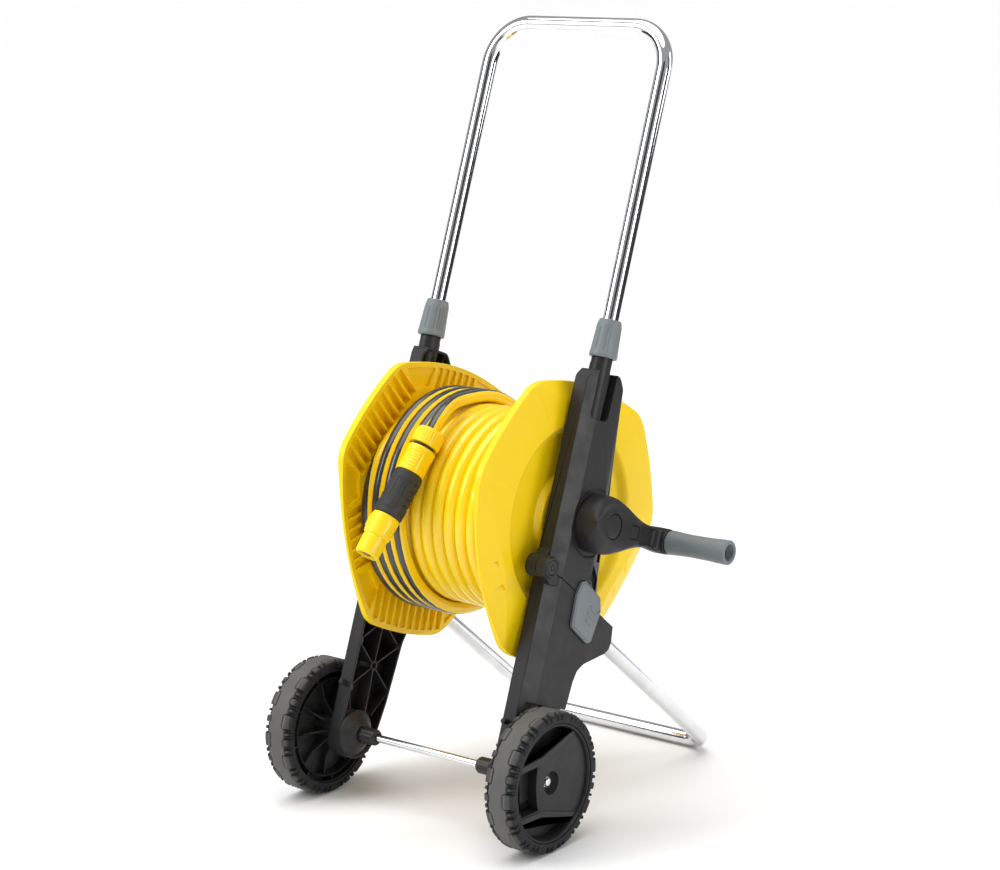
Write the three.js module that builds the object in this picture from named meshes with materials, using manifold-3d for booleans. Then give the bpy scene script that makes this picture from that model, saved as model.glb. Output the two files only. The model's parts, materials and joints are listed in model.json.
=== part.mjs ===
// Garden hose reel cart: two folding plastic legs, a telescopic handle, two wheels,
// a tube stand, and a cranked reel with its wound hose and spray nozzle.
// Millimetres. +X is the crank side, +Y the rear, +Z up.
import * as THREE from "three";
import { mergeVertices } from "three/addons/utils/BufferGeometryUtils.js";
import Module from "manifold-3d";

const wasm = await Module();
wasm.setup();

// ---------- driving dimensions ----------

const GAP = 0.3; // clearance between pieces that touch
const LEAN = 20.6; // degrees that the legs lean back from upright
const WHEEL_RADIUS = 80;
const WHEEL_INNER_X = 143.5;
const WHEEL_OUTER_X = 182;
const RIM_RADIUS = 67;
const AXLE_RADIUS = 4.5;
const AXLE_END_X = 173;
const HUB_FACE_X = 177; // the hub's outer plate
const HUB_WEB_X = 165; // outer side of the web behind it
const HUB_WELL = { radius: 13, floorX: 168 }; // round well around the axle's end
const LEG_INNER_X = 112;
const LEG_OUTER_X = 140;
const LEG_WALL = 3;
const LEG_FRONT = -25;
const TUBE_X = 126; // centre of the handle and stand tubes
const TUBE_RADIUS = 9.3;
const TUBE_WALL = 1.4;
const HANDLE_TOP = 860; // all distances "along" a leg start at the axle
const HANDLE_BEND = 50;
const TUBE_END = 425;
const STAND_BEND = 30;
const COLLAR_FROM = 474.3;
const COLLAR_TO = 518;
const HINGE = { across: -33, along: 231, radius: 13 };
const SEAM_END = { across: 110, along: 183 };
const REEL = { across: 28, along: 291 };
const JOURNAL_RADIUS = 10;
const FLANGE_INNER_X = 95;
const FLANGE_OUTER_X = 109;
const FLANGE_CORNER_RADIUS = 174;
const DRUM_RADIUS = 74.2;
const HOSE_DIAMETER = 15.5;
const WINDING_LOWER = 117.2; // outer radius of the last full layer
const WINDING_UPPER = 132.4; // outer radius of the part layer on it
const CRANK_LENGTH = 107;
const GRIP_END_X = 258;

// Sides of round shapes, from small pins to the tyres.
const FEW = 10;
const SOME = 14;
const MANY = 20;
const MOST = 32;
const TUBE_SIDES = 12;

const leanAngle = THREE.MathUtils.degToRad(LEAN);
const degrees = THREE.MathUtils.degToRad;

// ---------- materials ----------

const finish = (color, roughness, metalness = 0) =>
  new THREE.MeshStandardMaterial({ color, roughness, metalness });
const yellow = () => finish(0xffd200, 0.35);
const black = () => finish(0x2c2d2e, 0.6);
const grey = () => finish(0x767f82, 0.5);
const rubber = () => finish(0x464644, 0.85);
const chrome = () => finish(0xdadde0, 0.12, 1);
const steel = () => finish(0xb9bdc1, 0.3, 1);
const hose = () => finish(0xf6cf10, 0.3);
const seal = () => finish(0x1b1b1b, 0.7);

// ---------- solids ----------

// Reverses the faces of a geometry that is inside out.
function outward(geometry) {
  const place = geometry.attributes.position;
  const index = geometry.index.array;
  const [a, b, c] = [new THREE.Vector3(), new THREE.Vector3(), new THREE.Vector3()];
  let volume = 0;
  for (let i = 0; i < index.length; i += 3) {
    a.fromBufferAttribute(place, index[i]);
    b.fromBufferAttribute(place, index[i + 1]);
    c.fromBufferAttribute(place, index[i + 2]);
    volume += a.dot(b.cross(c));
  }
  if (volume < 0) {
    for (let i = 0; i < index.length; i += 3) {
      [index[i], index[i + 1]] = [index[i + 1], index[i]];
    }
  }
  return geometry;
}

// Keeps only the positions and shares the vertices, so that the surface is closed.
function closed(geometry) {
  geometry.deleteAttribute("normal");
  geometry.deleteAttribute("uv");
  return outward(mergeVertices(geometry, 1e-4));
}

function toManifold(geometry) {
  return new wasm.Manifold(new wasm.Mesh({
    numProp: 3,
    vertProperties: new Float32Array(geometry.attributes.position.array),
    triVerts: new Uint32Array(geometry.index.array),
  }));
}

function fromManifold(solid) {
  const result = solid.getMesh();
  const geometry = new THREE.BufferGeometry();
  geometry.setAttribute("position", new THREE.BufferAttribute(result.vertProperties, 3));
  geometry.setIndex(new THREE.BufferAttribute(result.triVerts, 1));
  return geometry;
}

function combine(operation, first, others) {
  let solid = toManifold(first);
  for (const other of others) {
    solid = solid[operation](toManifold(other));
  }
  return fromManifold(solid);
}

const join = (first, ...others) => combine("add", first, others);
const cut = (first, ...others) => combine("subtract", first, others);

// ---------- basic shapes: a leg's side view is drawn as [across, along] points ----------

const ALONG_X = new THREE.Matrix4().makeBasis(
  new THREE.Vector3(0, 1, 0), new THREE.Vector3(0, 0, 1), new THREE.Vector3(1, 0, 0));

function prism(outline, fromX, toX) {
  const shape = new THREE.Shape(outline.map(([u, v]) => new THREE.Vector2(u, v)));
  const body = new THREE.ExtrudeGeometry(shape, { depth: toX - fromX, bevelEnabled: false });
  body.applyMatrix4(ALONG_X);
  return closed(body.translate(fromX, 0, 0));
}

function disc(radius, fromX, toX, across = 0, along = 0, sides = SOME) {
  const body = new THREE.CylinderGeometry(radius, radius, toX - fromX, sides);
  body.rotateZ(-Math.PI / 2);
  return closed(body.translate((fromX + toX) / 2, across, along));
}

function rod(radius, fromZ, toZ, x = 0, y = 0, sides = FEW) {
  const body = new THREE.CylinderGeometry(radius, radius, toZ - fromZ, sides);
  body.rotateX(Math.PI / 2);
  return closed(body.translate(x, y, (fromZ + toZ) / 2));
}

function block(fromX, toX, fromY, toY, fromZ, toZ) {
  const body = new THREE.BoxGeometry(toX - fromX, toY - fromY, toZ - fromZ);
  return closed(body.translate((fromX + toX) / 2, (fromY + toY) / 2, (fromZ + toZ) / 2));
}

// A closed profile of [distance, radius] points turned about Z.
function turnedZ(profile, sides = SOME) {
  const loop = [...profile, profile[0]].map(([z, r]) => new THREE.Vector2(r, z));
  const body = new THREE.LatheGeometry(loop, sides);
  return closed(body.rotateX(Math.PI / 2));
}

// The same, turned about X.
function turnedX(profile, sides = SOME) {
  return turnedZ(profile, sides).rotateY(Math.PI / 2);
}

function ringZ(inner, outer, fromZ, toZ, sides = SOME) {
  return turnedZ([[fromZ, inner], [fromZ, outer], [toZ, outer], [toZ, inner]], sides);
}

function ringX(inner, outer, fromX, toX, sides = SOME) {
  return turnedX([[fromX, inner], [fromX, outer], [toX, outer], [toX, inner]], sides);
}

function arc(centreU, centreV, radius, fromDegrees, toDegrees, steps) {
  const points = [];
  for (let i = 0; i <= steps; i += 1) {
    const angle = degrees(fromDegrees + ((toDegrees - fromDegrees) * i) / steps);
    points.push([centreU + radius * Math.cos(angle), centreV + radius * Math.sin(angle)]);
  }
  return points;
}

// Moves every side of a closed outline (anticlockwise) inward by one distance.
function inset(outline, distance) {
  const count = outline.length;
  const sides = outline.map(([u, v], i) => {
    const [nextU, nextV] = outline[(i + 1) % count];
    const size = Math.hypot(nextU - u, nextV - v);
    const [du, dv] = [(nextU - u) / size, (nextV - v) / size];
    return { u: u - dv * distance, v: v + du * distance, du, dv };
  });
  return sides.map((side, i) => {
    const before = sides[(i + count - 1) % count];
    const turn = before.du * side.dv - before.dv * side.du;
    if (Math.abs(turn) < 1e-6) {
      return [side.u, side.v];
    }
    const reach = ((side.u - before.u) * side.dv - (side.v - before.v) * side.du) / turn;
    return [before.u + before.du * reach, before.v + before.dv * reach];
  });
}

function strip(fromPoint, toPoint, width) {
  const [dx, dy] = [toPoint[0] - fromPoint[0], toPoint[1] - fromPoint[1]];
  const size = Math.hypot(dx, dy);
  const [nx, ny] = [(-dy / size) * (width / 2), (dx / size) * (width / 2)];
  return [
    [fromPoint[0] - nx, fromPoint[1] - ny],
    [toPoint[0] - nx, toPoint[1] - ny],
    [toPoint[0] + nx, toPoint[1] + ny],
    [fromPoint[0] + nx, fromPoint[1] + ny],
  ];
}

// A path through its own stations, so that bends get the steps and straights need none.
class StationPath extends THREE.Curve {
  constructor(points) {
    super();
    this.points = points;
  }

  getPoint(t) {
    const place = t * (this.points.length - 1);
    const index = Math.min(Math.floor(place), this.points.length - 2);
    return this.points[index].clone().lerp(this.points[index + 1], place - index);
  }

  getPointAt(t) {
    return this.getPoint(t);
  }

  getTangentAt(t) {
    const last = this.points.length - 1;
    const index = Math.round(t * last);
    const before = this.points[Math.max(index - 1, 0)];
    const here = this.points[index];
    const after = this.points[Math.min(index + 1, last)];
    const arriving = here.clone().sub(before).normalize();
    const leaving = after.clone().sub(here).normalize();
    return arriving.add(leaving).normalize();
  }
}

function pipe(points, outer, inner, sides) {
  const section = new THREE.Shape(arc(0, 0, outer, 0, 360, sides).slice(0, -1)
    .map(([u, v]) => new THREE.Vector2(u, v)));
  if (inner > 0) {
    section.holes.push(new THREE.Path(arc(0, 0, inner, 360, 0, sides).slice(0, -1)
      .map(([u, v]) => new THREE.Vector2(u, v))));
  }
  const extrudePath = new StationPath(points);
  return closed(new THREE.ExtrudeGeometry(section, { steps: points.length - 1, extrudePath }));
}

// A U of tube drawn in its own plane: x is the width, z runs from the open ends to the bar.
function hairpin(fromZ, barZ, bend, steps = 5) {
  const flat = [
    [-TUBE_X, fromZ],
    ...arc(-TUBE_X + bend, barZ - bend, bend, 180, 90, steps),
    ...arc(TUBE_X - bend, barZ - bend, bend, 90, 0, steps),
    [TUBE_X, fromZ],
  ];
  const points = flat.map(([x, z]) => new THREE.Vector3(x, 0, z));
  return pipe(points, TUBE_RADIUS, TUBE_RADIUS - TUBE_WALL, TUBE_SIDES);
}

function mirrored(geometry) {
  return outward(geometry.clone().scale(-1, 1, 1));
}

// ---------- placing the pieces ----------

const cart = new THREE.Group(); // origin on the ground under the axle
const corded = new THREE.Group(); // the hose and what is on it, placed like the cart

function add(group, name, geometry, material) {
  const mesh = new THREE.Mesh(geometry, material);
  mesh.name = name;
  group.add(mesh);
  return mesh;
}

// One piece on each side: the shape is drawn on the right.
function addPair(group, name, geometry, material) {
  add(group, `${name}_right`, geometry, material());
  add(group, `${name}_left`, mirrored(geometry), material());
}

function turnedGroup(parent, y, z) {
  const group = new THREE.Group();
  group.position.set(0, y, z);
  group.rotation.x = -leanAngle;
  parent.add(group);
  return group;
}

const legs = turnedGroup(cart, 0, WHEEL_RADIUS);

function fromLegFrame(across, along) {
  return {
    y: across * Math.cos(leanAngle) + along * Math.sin(leanAngle),
    z: WHEEL_RADIUS - across * Math.sin(leanAngle) + along * Math.cos(leanAngle),
  };
}

// ---------- legs ----------

const seamSlope = (SEAM_END.along - HINGE.along) / (SEAM_END.across - HINGE.across);
const seamAlong = (across) => HINGE.along + seamSlope * (across - HINGE.across);
const KNUCKLE_SPLIT_X = 127.5;
const KNUCKLE_OUTER_X = 143;
const PIN_RADIUS = 4;
const BUTTON = [[23, 209], [25, 172], [60, 157.5], [68, 160], [75, 196], [69, 211], [35, 226], [28, 224]];
const STEM = { across: 46, along: 184, radius: 4 };
const STAND_SOCKET = { across: 62, along: 180.8 };
const standDirection = { across: 0.946, along: -0.325 };

// Takes the long slope off a leg's front outer edge; depth moves it into the material.
function frontSlope(depth) {
  const from = [LEG_OUTER_X - 11, LEG_FRONT];
  const to = [LEG_OUTER_X, LEG_FRONT + 18];
  const wedge = [
    new THREE.Vector2(from[0] - depth, from[1] - 1),
    new THREE.Vector2(LEG_OUTER_X + 8, from[1] - 1),
    new THREE.Vector2(LEG_OUTER_X + 8, to[1] + 13 + depth),
    new THREE.Vector2(to[0] - depth, to[1] + depth),
    new THREE.Vector2(from[0] - depth, from[1] + depth),
  ];
  const body = new THREE.ExtrudeGeometry(new THREE.Shape(wedge), { depth: 600, bevelEnabled: false });
  return closed(body.translate(0, 0, -60));
}

// An open channel with its closed face outward: ribs and bosses stay standing in it.
function channel(outline, kept) {
  const body = cut(prism(outline, LEG_INNER_X, LEG_OUTER_X), frontSlope(0));
  const hollow = cut(
    prism(inset(outline, LEG_WALL), LEG_INNER_X - 1, LEG_OUTER_X - LEG_WALL),
    frontSlope(LEG_WALL), ...kept);
  return cut(body, hollow);
}

function ribs(pairs, width, fromX) {
  return pairs.map(([from, to]) => prism(strip(from, to, width), fromX, LEG_OUTER_X));
}

const buttonPad = prism(inset(BUTTON, -LEG_WALL), LEG_OUTER_X - 13, LEG_OUTER_X);
const buttonRecess = prism(inset(BUTTON, -0.6), LEG_OUTER_X - 4, LEG_OUTER_X + 1);
const hingeClear = (fromX, toX) =>
  disc(HINGE.radius + 0.8, fromX, toX, HINGE.across, HINGE.along, SOME);
const hingeBore = disc(PIN_RADIUS + GAP, LEG_INNER_X - 1, KNUCKLE_OUTER_X + 1, HINGE.across, HINGE.along, FEW);

function upperLeg() {
  const outline = [
    [LEG_FRONT, seamAlong(LEG_FRONT) + 0.4],
    [SEAM_END.across, SEAM_END.along + 0.4],
    [88, 204],
    [77, 217],
    [70, 234],
    [66, 262],
    [56, 328],
    [45, 376],
    [35, 424],
    [31, 446],
    [26, 455],
    [18, 458],
    [-17, 457],
    [LEG_FRONT, 449],
  ];
  const crossed = ribs([
    [[-24, 340], [46, 376]],
    [[-24, 400], [46, 376]],
    [[20, 205], [66, 240]],
    [[66, 200], [24, 252]],
  ], 2.4, LEG_INNER_X + 3);
  const guide = rod(12.6, seamAlong(0) + 6, 457, TUBE_X, 0, SOME);
  const boss = disc(17, LEG_INNER_X - 1, LEG_OUTER_X, REEL.across, REEL.along, MANY);
  const shell = channel(outline, [...crossed, guide, boss, buttonPad]);
  const neck = rod(13.8, 440, COLLAR_FROM - 0.6, TUBE_X, 0, SOME);
  const spigot = rod(11.8, 450, 482, TUBE_X, 0, SOME);
  const knuckle = disc(HINGE.radius, LEG_INNER_X + 1, KNUCKLE_SPLIT_X - GAP, HINGE.across, HINGE.along, SOME);
  const web = prism(
    [[HINGE.across, HINGE.along], [-20, 232], [LEG_FRONT + 2, 262], [LEG_FRONT, 262], [-36.4, 243.5]],
    LEG_INNER_X + 1, KNUCKLE_SPLIT_X - GAP);
  const solid = join(
    cut(shell, hingeClear(KNUCKLE_SPLIT_X - GAP, KNUCKLE_OUTER_X + 1)), neck, spigot, knuckle, web);
  return cut(
    solid,
    hingeBore,
    buttonRecess,
    rod(TUBE_RADIUS + 0.7, seamAlong(0) + 9, 500, TUBE_X, 0, SOME),
    disc(JOURNAL_RADIUS + 3.5, LEG_INNER_X - 6, LEG_OUTER_X + 1, REEL.across, REEL.along, MANY),
    disc(36, LEG_OUTER_X - 1, LEG_OUTER_X + 1, REEL.across, REEL.along, MANY),
    prism([...arc(19, 402, 5, 180, 360, 8), [24, 470], [14, 470]], LEG_OUTER_X - 8, LEG_OUTER_X + 1),
  );
}

function lowerLeg() {
  const outline = [
    [LEG_FRONT, seamAlong(LEG_FRONT) - 0.4],
    ...arc(8, 2, 33, 180, 350, 10),
    [48, 40],
    [51, 78],
    [54, 112],
    [58, 125],
    [68, 134],
    [104, 150],
    [111, 156],
    [113, 165],
    [SEAM_END.across, SEAM_END.along - 0.4],
  ];
  const crossed = ribs([
    [[14, 10], [14, 210]],
    [[-24, 45], [56, 125]],
    [[50, 60], [-24, 134]],
    [[-24, 134], [50, 208]],
  ], 2.4, LEG_INNER_X + 2);
  const socket = standSocket(13, -3, 60);
  const axleBoss = disc(20, LEG_INNER_X - 1, LEG_OUTER_X, 0, 0, MANY);
  const shell = channel(outline, [...crossed, socket, axleBoss, buttonPad]);
  const knuckle = disc(HINGE.radius, KNUCKLE_SPLIT_X + GAP, KNUCKLE_OUTER_X, HINGE.across, HINGE.along, SOME);
  const web = prism(
    [[HINGE.across, HINGE.along], [-36.4, 218.5], [LEG_FRONT, 200], [-22, 200], [-20, 228]],
    KNUCKLE_SPLIT_X + GAP, LEG_OUTER_X - 2);
  const peg = closed(new THREE.CylinderGeometry(3.4, 3.4, 12, FEW).translate(120, LEG_FRONT - 4, 92));
  const solid = join(
    cut(shell, hingeClear(LEG_INNER_X - 1, KNUCKLE_SPLIT_X + GAP)), knuckle, web, peg);
  return cut(
    solid,
    hingeBore,
    disc(8.6, KNUCKLE_OUTER_X - 2, KNUCKLE_OUTER_X + 1, HINGE.across, HINGE.along, SOME),
    buttonRecess,
    disc(7, LEG_OUTER_X - 9.5, LEG_OUTER_X, STEM.across, STEM.along, FEW),
    disc(STEM.radius + GAP, LEG_INNER_X - 1, LEG_OUTER_X, STEM.across, STEM.along, FEW),
    disc(AXLE_RADIUS + GAP, 90, LEG_OUTER_X + 1, 0, 0, FEW),
    block(133, LEG_OUTER_X + 1, LEG_FRONT - 20, 80, -60, 80),
    standSocket(TUBE_RADIUS + 0.6, 0, 90),
    screwBore(2.2),
  );
}

// Round bar on the stand tube's line, from its socket end rearward.
function standSocket(radius, from, to) {
  const body = rod(radius, from, to, 0, 0, SOME);
  body.rotateX(-Math.atan2(standDirection.across, standDirection.along));
  return body.translate(TUBE_X, STAND_SOCKET.across, STAND_SOCKET.along);
}

const SCREW = { across: 84, along: 173 };
const screwBore = (radius) => disc(radius, LEG_INNER_X - 2, 128, SCREW.across, SCREW.along, FEW);

addPair(legs, "upper_leg", upperLeg(), black);
addPair(legs, "lower_leg", lowerLeg(), black);
addPair(legs, "hinge_pin", join(
  disc(PIN_RADIUS, LEG_INNER_X + 1.5, KNUCKLE_OUTER_X - 1, HINGE.across, HINGE.along, FEW),
  disc(8, KNUCKLE_OUTER_X - 1.7, KNUCKLE_OUTER_X - 0.3, HINGE.across, HINGE.along, SOME),
), black);

// ---------- latch buttons ----------

const CAP_BASE_X = LEG_OUTER_X + GAP;
const CAP_TOP_X = LEG_OUTER_X + 3.2;

function latchButton() {
  const cap = prism(BUTTON, CAP_BASE_X, CAP_TOP_X);
  const edge = inset(BUTTON, 3);
  const crown = prism(edge, CAP_TOP_X - 0.2, CAP_TOP_X + 0.8);
  const stem = disc(STEM.radius, LEG_OUTER_X - 11, CAP_BASE_X + 1, STEM.across, STEM.along, FEW);
  const ridges = [0, 1, 2].map((i) => prism(
    strip([48 + 4 * i, 168 + 8 * i], [60 + 4 * i, 178 + 8 * i], 2), CAP_TOP_X, CAP_TOP_X + 1.6));
  return join(cap, crown, stem, ...ridges);
}

addPair(legs, "latch_button", latchButton(), grey);
addPair(legs, "latch_spring", ringX(STEM.radius + 0.6, 6.5, LEG_OUTER_X - 9, LEG_OUTER_X, FEW)
  .translate(0, STEM.across, STEM.along), steel);

// ---------- axle and wheels ----------

add(legs, "axle_rod", disc(AXLE_RADIUS, -AXLE_END_X, AXLE_END_X, 0, 0, FEW), steel());

// A dished washer against the leg's inner side, and a sleeve that holds it there.
const DISH_FROM_X = 97.5;
const DISH_RADIUS = 30;
const SLEEVE_FROM_X = 76;
const SLEEVE_RADIUS = 10;
addPair(legs, "axle_dish", turnedX([
  [DISH_FROM_X, AXLE_RADIUS + GAP],
  [DISH_FROM_X, SLEEVE_RADIUS + 3],
  [DISH_FROM_X + 3.5, SLEEVE_RADIUS + 7],
  [LEG_INNER_X - 4, DISH_RADIUS - 1],
  [LEG_INNER_X - GAP, DISH_RADIUS],
  [LEG_INNER_X - GAP, AXLE_RADIUS + GAP],
], MANY), black);
addPair(legs, "axle_sleeve", turnedX([
  [SLEEVE_FROM_X, AXLE_RADIUS + GAP],
  [SLEEVE_FROM_X, SLEEVE_RADIUS - 1.5],
  [SLEEVE_FROM_X + 3, SLEEVE_RADIUS],
  [DISH_FROM_X - GAP, SLEEVE_RADIUS],
  [DISH_FROM_X - GAP, AXLE_RADIUS + GAP],
], FEW), black);
const LOCK_X = HUB_WELL.floorX + GAP;
addPair(legs, "axle_lock", turnedX([
  [LOCK_X, AXLE_RADIUS + GAP],
  [LOCK_X, 9],
  [LOCK_X + 0.8, 9],
  [LOCK_X + 1.8, 5.6],
  [LOCK_X + 1.8, AXLE_RADIUS + GAP],
], FEW), steel);

// The hub's outer plate has a V-shaped notch at the top and at the bottom, and a pocket
// between them at the front.
const NOTCH = { fromDegrees: 52.5, pointDegrees: 118, toDegrees: 149, pointRadius: 38.5 };
const PLATE_RADIUS = 64;
const FRONT_POCKET = { across: -24, halfHeight: 26, radius: 60 };

function wheelHub() {
  const body = turnedX([
    [134, AXLE_RADIUS + GAP],
    [134, 13],
    [158, 15],
    [160, 58],
    [WHEEL_INNER_X + 2, 60],
    [WHEEL_INNER_X + 2, RIM_RADIUS],
    [WHEEL_OUTER_X - 2, RIM_RADIUS],
    [WHEEL_OUTER_X - 2, RIM_RADIUS - 2.5],
    [HUB_WEB_X, 60],
    [HUB_WEB_X, AXLE_RADIUS + GAP],
  ], MOST);
  const [point] = arc(0, 0, NOTCH.pointRadius, NOTCH.pointDegrees, NOTCH.pointDegrees, 1);
  const { fromDegrees, toDegrees } = NOTCH;
  const plate = prism([
    ...arc(0, 0, PLATE_RADIUS, -fromDegrees, fromDegrees, 12),
    point,
    ...arc(0, 0, PLATE_RADIUS, toDegrees, 360 - toDegrees, 6),
    [point[0], -point[1]],
  ], HUB_WEB_X - 1, HUB_FACE_X);
  const { across, halfHeight, radius } = FRONT_POCKET;
  const reach = 180 - THREE.MathUtils.radToDeg(Math.asin(halfHeight / radius));
  const frontPocket = prism([
    [across, halfHeight],
    ...arc(0, 0, radius, reach, 360 - reach, 6),
    [across, -halfHeight],
  ], HUB_WEB_X, HUB_FACE_X + 1);
  const spokes = [0, 60, 120, 180, 240, 300].map((turn) => {
    const spoke = block(150, 161, -1.5, 1.5, 12, 61);
    return spoke.rotateX(degrees(turn));
  });
  const bore = disc(AXLE_RADIUS + GAP, 130, WHEEL_OUTER_X, 0, 0, FEW);
  const well = disc(HUB_WELL.radius, HUB_WELL.floorX, WHEEL_OUTER_X, 0, 0, MANY);
  return cut(join(body, plate, ...spokes), frontPocket, bore, well);
}

addPair(legs, "wheel_hub", wheelHub(), black);
addPair(legs, "tyre", turnedX([
  [WHEEL_INNER_X, RIM_RADIUS + GAP],
  [WHEEL_INNER_X, 73],
  [WHEEL_INNER_X + 4, 78],
  [WHEEL_INNER_X + 11, WHEEL_RADIUS],
  [WHEEL_OUTER_X - 11, WHEEL_RADIUS],
  [WHEEL_OUTER_X - 4, 78],
  [WHEEL_OUTER_X, 73],
  [WHEEL_OUTER_X, RIM_RADIUS + GAP],
], MOST), rubber);

// ---------- handle, collars and stand ----------

add(legs, "handle_tube", hairpin(TUBE_END, HANDLE_TOP, HANDLE_BEND), chrome());

const onTube = (geometry) => geometry.translate(TUBE_X, 0, 0);

addPair(legs, "handle_end_plug", onTube(join(
  rod(9.6, TUBE_END - 6, TUBE_END - GAP, 0, 0, FEW),
  rod(7.5, TUBE_END - 2, TUBE_END + 12, 0, 0, FEW),
)), black);

function twistCollar() {
  const body = turnedZ([
    [COLLAR_FROM, 12.2],
    [COLLAR_FROM, 16],
    [COLLAR_FROM + 5, 16],
    [COLLAR_TO - 2, 13.4],
    [COLLAR_TO, 12],
    [COLLAR_TO, 9.8],
    [COLLAR_TO - 14, 9.8],
    [COLLAR_TO - 14, 12.2],
  ], MANY);
  const flutes = [];
  for (let i = 0; i < 12; i += 1) {
    const flute = rod(2.2, COLLAR_FROM + 7, COLLAR_TO - 6, 0, 0, 5);
    flute.translate(17, 0, 0);
    flutes.push(flute.rotateZ(degrees(30 * i + 15)));
  }
  return cut(body, ...flutes);
}

addPair(legs, "twist_collar", onTube(twistCollar()), grey);
addPair(legs, "clamp_collet", onTube(ringZ(9.7, 11.8, 483, COLLAR_TO - 15)), black);

// The stand's plane slopes down from the sockets to the bar on the ground.
const socketPlace = fromLegFrame(STAND_SOCKET.across, STAND_SOCKET.along);
const standSlope = Math.atan2(standDirection.across, standDirection.along) + leanAngle;
const standLength = (socketPlace.z - TUBE_RADIUS) / -Math.cos(standSlope);
const stand = add(cart, "stand_tube", hairpin(0.5, standLength, STAND_BEND), steel());
stand.position.set(0, socketPlace.y, socketPlace.z);
stand.rotation.x = -standSlope;

addPair(legs, "stand_screw", join(
  disc(1.9, LEG_INNER_X, TUBE_X - TUBE_RADIUS - GAP, SCREW.across, SCREW.along, FEW),
  disc(4, LEG_INNER_X - 1.6, LEG_INNER_X + 0.6, SCREW.across, SCREW.along, FEW),
), steel);

// ---------- reel ----------

const reelPlace = fromLegFrame(REEL.across, REEL.along);
const reel = new THREE.Group();
reel.position.set(0, reelPlace.y, reelPlace.z);
cart.add(reel);

// Six corners in three pairs; each side bulges part of the way to the corner circle.
const FIRST_CORNER = 33;
const LONG_SIDE = 75;
const SHORT_SIDE = 45;
const SIDE_BULGE = 0.45;
const REEL_HUB_RADIUS = 26;

function flangeRadius(angle) {
  const turn = (((angle - FIRST_CORNER) % 120) + 120) % 120;
  const half = turn < LONG_SIDE ? LONG_SIDE / 2 : SHORT_SIDE / 2;
  const fromMiddle = turn < LONG_SIDE ? turn - half : turn - LONG_SIDE - half;
  const flat = (FLANGE_CORNER_RADIUS * Math.cos(degrees(half))) / Math.cos(degrees(fromMiddle));
  return flat + SIDE_BULGE * (FLANGE_CORNER_RADIUS - flat);
}

function flangeOutline(margin) {
  const outline = [];
  for (let i = 0; i < 48; i += 1) {
    const angle = FIRST_CORNER + 7.5 * i;
    const radius = flangeRadius(angle) - margin;
    outline.push([radius * Math.cos(degrees(angle)), radius * Math.sin(degrees(angle))]);
  }
  return outline;
}

// Pockets between the ribs on the flange's inner side.
function flangePockets() {
  const pockets = [];
  const panels = [];
  for (let turn = 0; turn < 360; turn += 120) {
    panels.push({ middle: FIRST_CORNER + LONG_SIDE / 2 + turn, count: 4 });
    panels.push({ middle: FIRST_CORNER + LONG_SIDE + SHORT_SIDE / 2 + turn, count: 5 });
  }
  for (const { middle, count } of panels) {
    for (let i = 0; i < count; i += 1) {
      const angle = middle + 8 * (i - (count - 1) / 2);
      const pocket = block(FLANGE_INNER_X - 1, FLANGE_OUTER_X - 6, 122, flangeRadius(angle) - 7, -7, 7);
      pockets.push(pocket.rotateX(degrees(angle)));
    }
  }
  return pockets;
}

function reelFlange() {
  return cut(
    prism(flangeOutline(0), FLANGE_INNER_X, FLANGE_OUTER_X),
    prism(flangeOutline(5), FLANGE_OUTER_X - 3, FLANGE_OUTER_X + 1),
    ringX(58, 112, FLANGE_INNER_X + 4, FLANGE_OUTER_X + 1, MANY),
    disc(REEL_HUB_RADIUS + GAP, FLANGE_INNER_X - 1, FLANGE_OUTER_X + 1, 0, 0, SOME),
    ...flangePockets(),
  );
}

addPair(reel, "flange", reelFlange(), yellow);

// Each hub fills the flange's middle and carries the journal that turns in the leg.
const REEL_HUB_TO_X = 110.8;
const RIGHT_JOURNAL_END = 139.2;
const LEFT_JOURNAL_END = 141;
const WATER_BORE = 7;

function reelHub(journalEnd) {
  return join(
    disc(REEL_HUB_RADIUS, FLANGE_INNER_X, REEL_HUB_TO_X, 0, 0, SOME),
    disc(JOURNAL_RADIUS, REEL_HUB_TO_X - 1, journalEnd, 0, 0, SOME),
  );
}

add(reel, "reel_hub_right", reelHub(RIGHT_JOURNAL_END), yellow());
add(reel, "reel_hub_left", mirrored(cut(
  reelHub(LEFT_JOURNAL_END),
  disc(WATER_BORE, FLANGE_INNER_X - 1, LEFT_JOURNAL_END + 1, 0, 0, FEW),
)), yellow());
add(reel, "drum_core", ringX(DRUM_RADIUS - 2.6, DRUM_RADIUS, -FLANGE_INNER_X + GAP, FLANGE_INNER_X - GAP, MOST), yellow());

const bearing = turnedX([
  [LEG_INNER_X + GAP, JOURNAL_RADIUS + 0.5],
  [LEG_INNER_X + GAP, JOURNAL_RADIUS + 3.2],
  [LEG_OUTER_X - 1.3, JOURNAL_RADIUS + 3.2],
  [LEG_OUTER_X - 1.3, JOURNAL_RADIUS + 0.5],
], SOME);
addPair(reel, "reel_bearing", bearing, grey);

// Water way: from the inlet elbow through the left journal to the drum wall.
const FEED_END_X = 78;
add(reel, "feed_pipe", pipe([
  new THREE.Vector3(-158, 0, 0),
  new THREE.Vector3(30, 0, 0),
  ...arc(30, 30, 30, 285, 345, 4).map(([x, z]) => new THREE.Vector3(x, 0, z)),
  new THREE.Vector3(FEED_END_X, 0, 68),
], 6.2, 4.4, 14), black());

// ---------- crank ----------

const crank = new THREE.Group();
crank.rotation.x = -leanAngle;
reel.add(crank);

const HUB_RADIUS = 33.5;
const HUB_TOP_X = 160;
const ARM_TOP_X = 170;
const CAP_RADIUS = 14;

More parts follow.
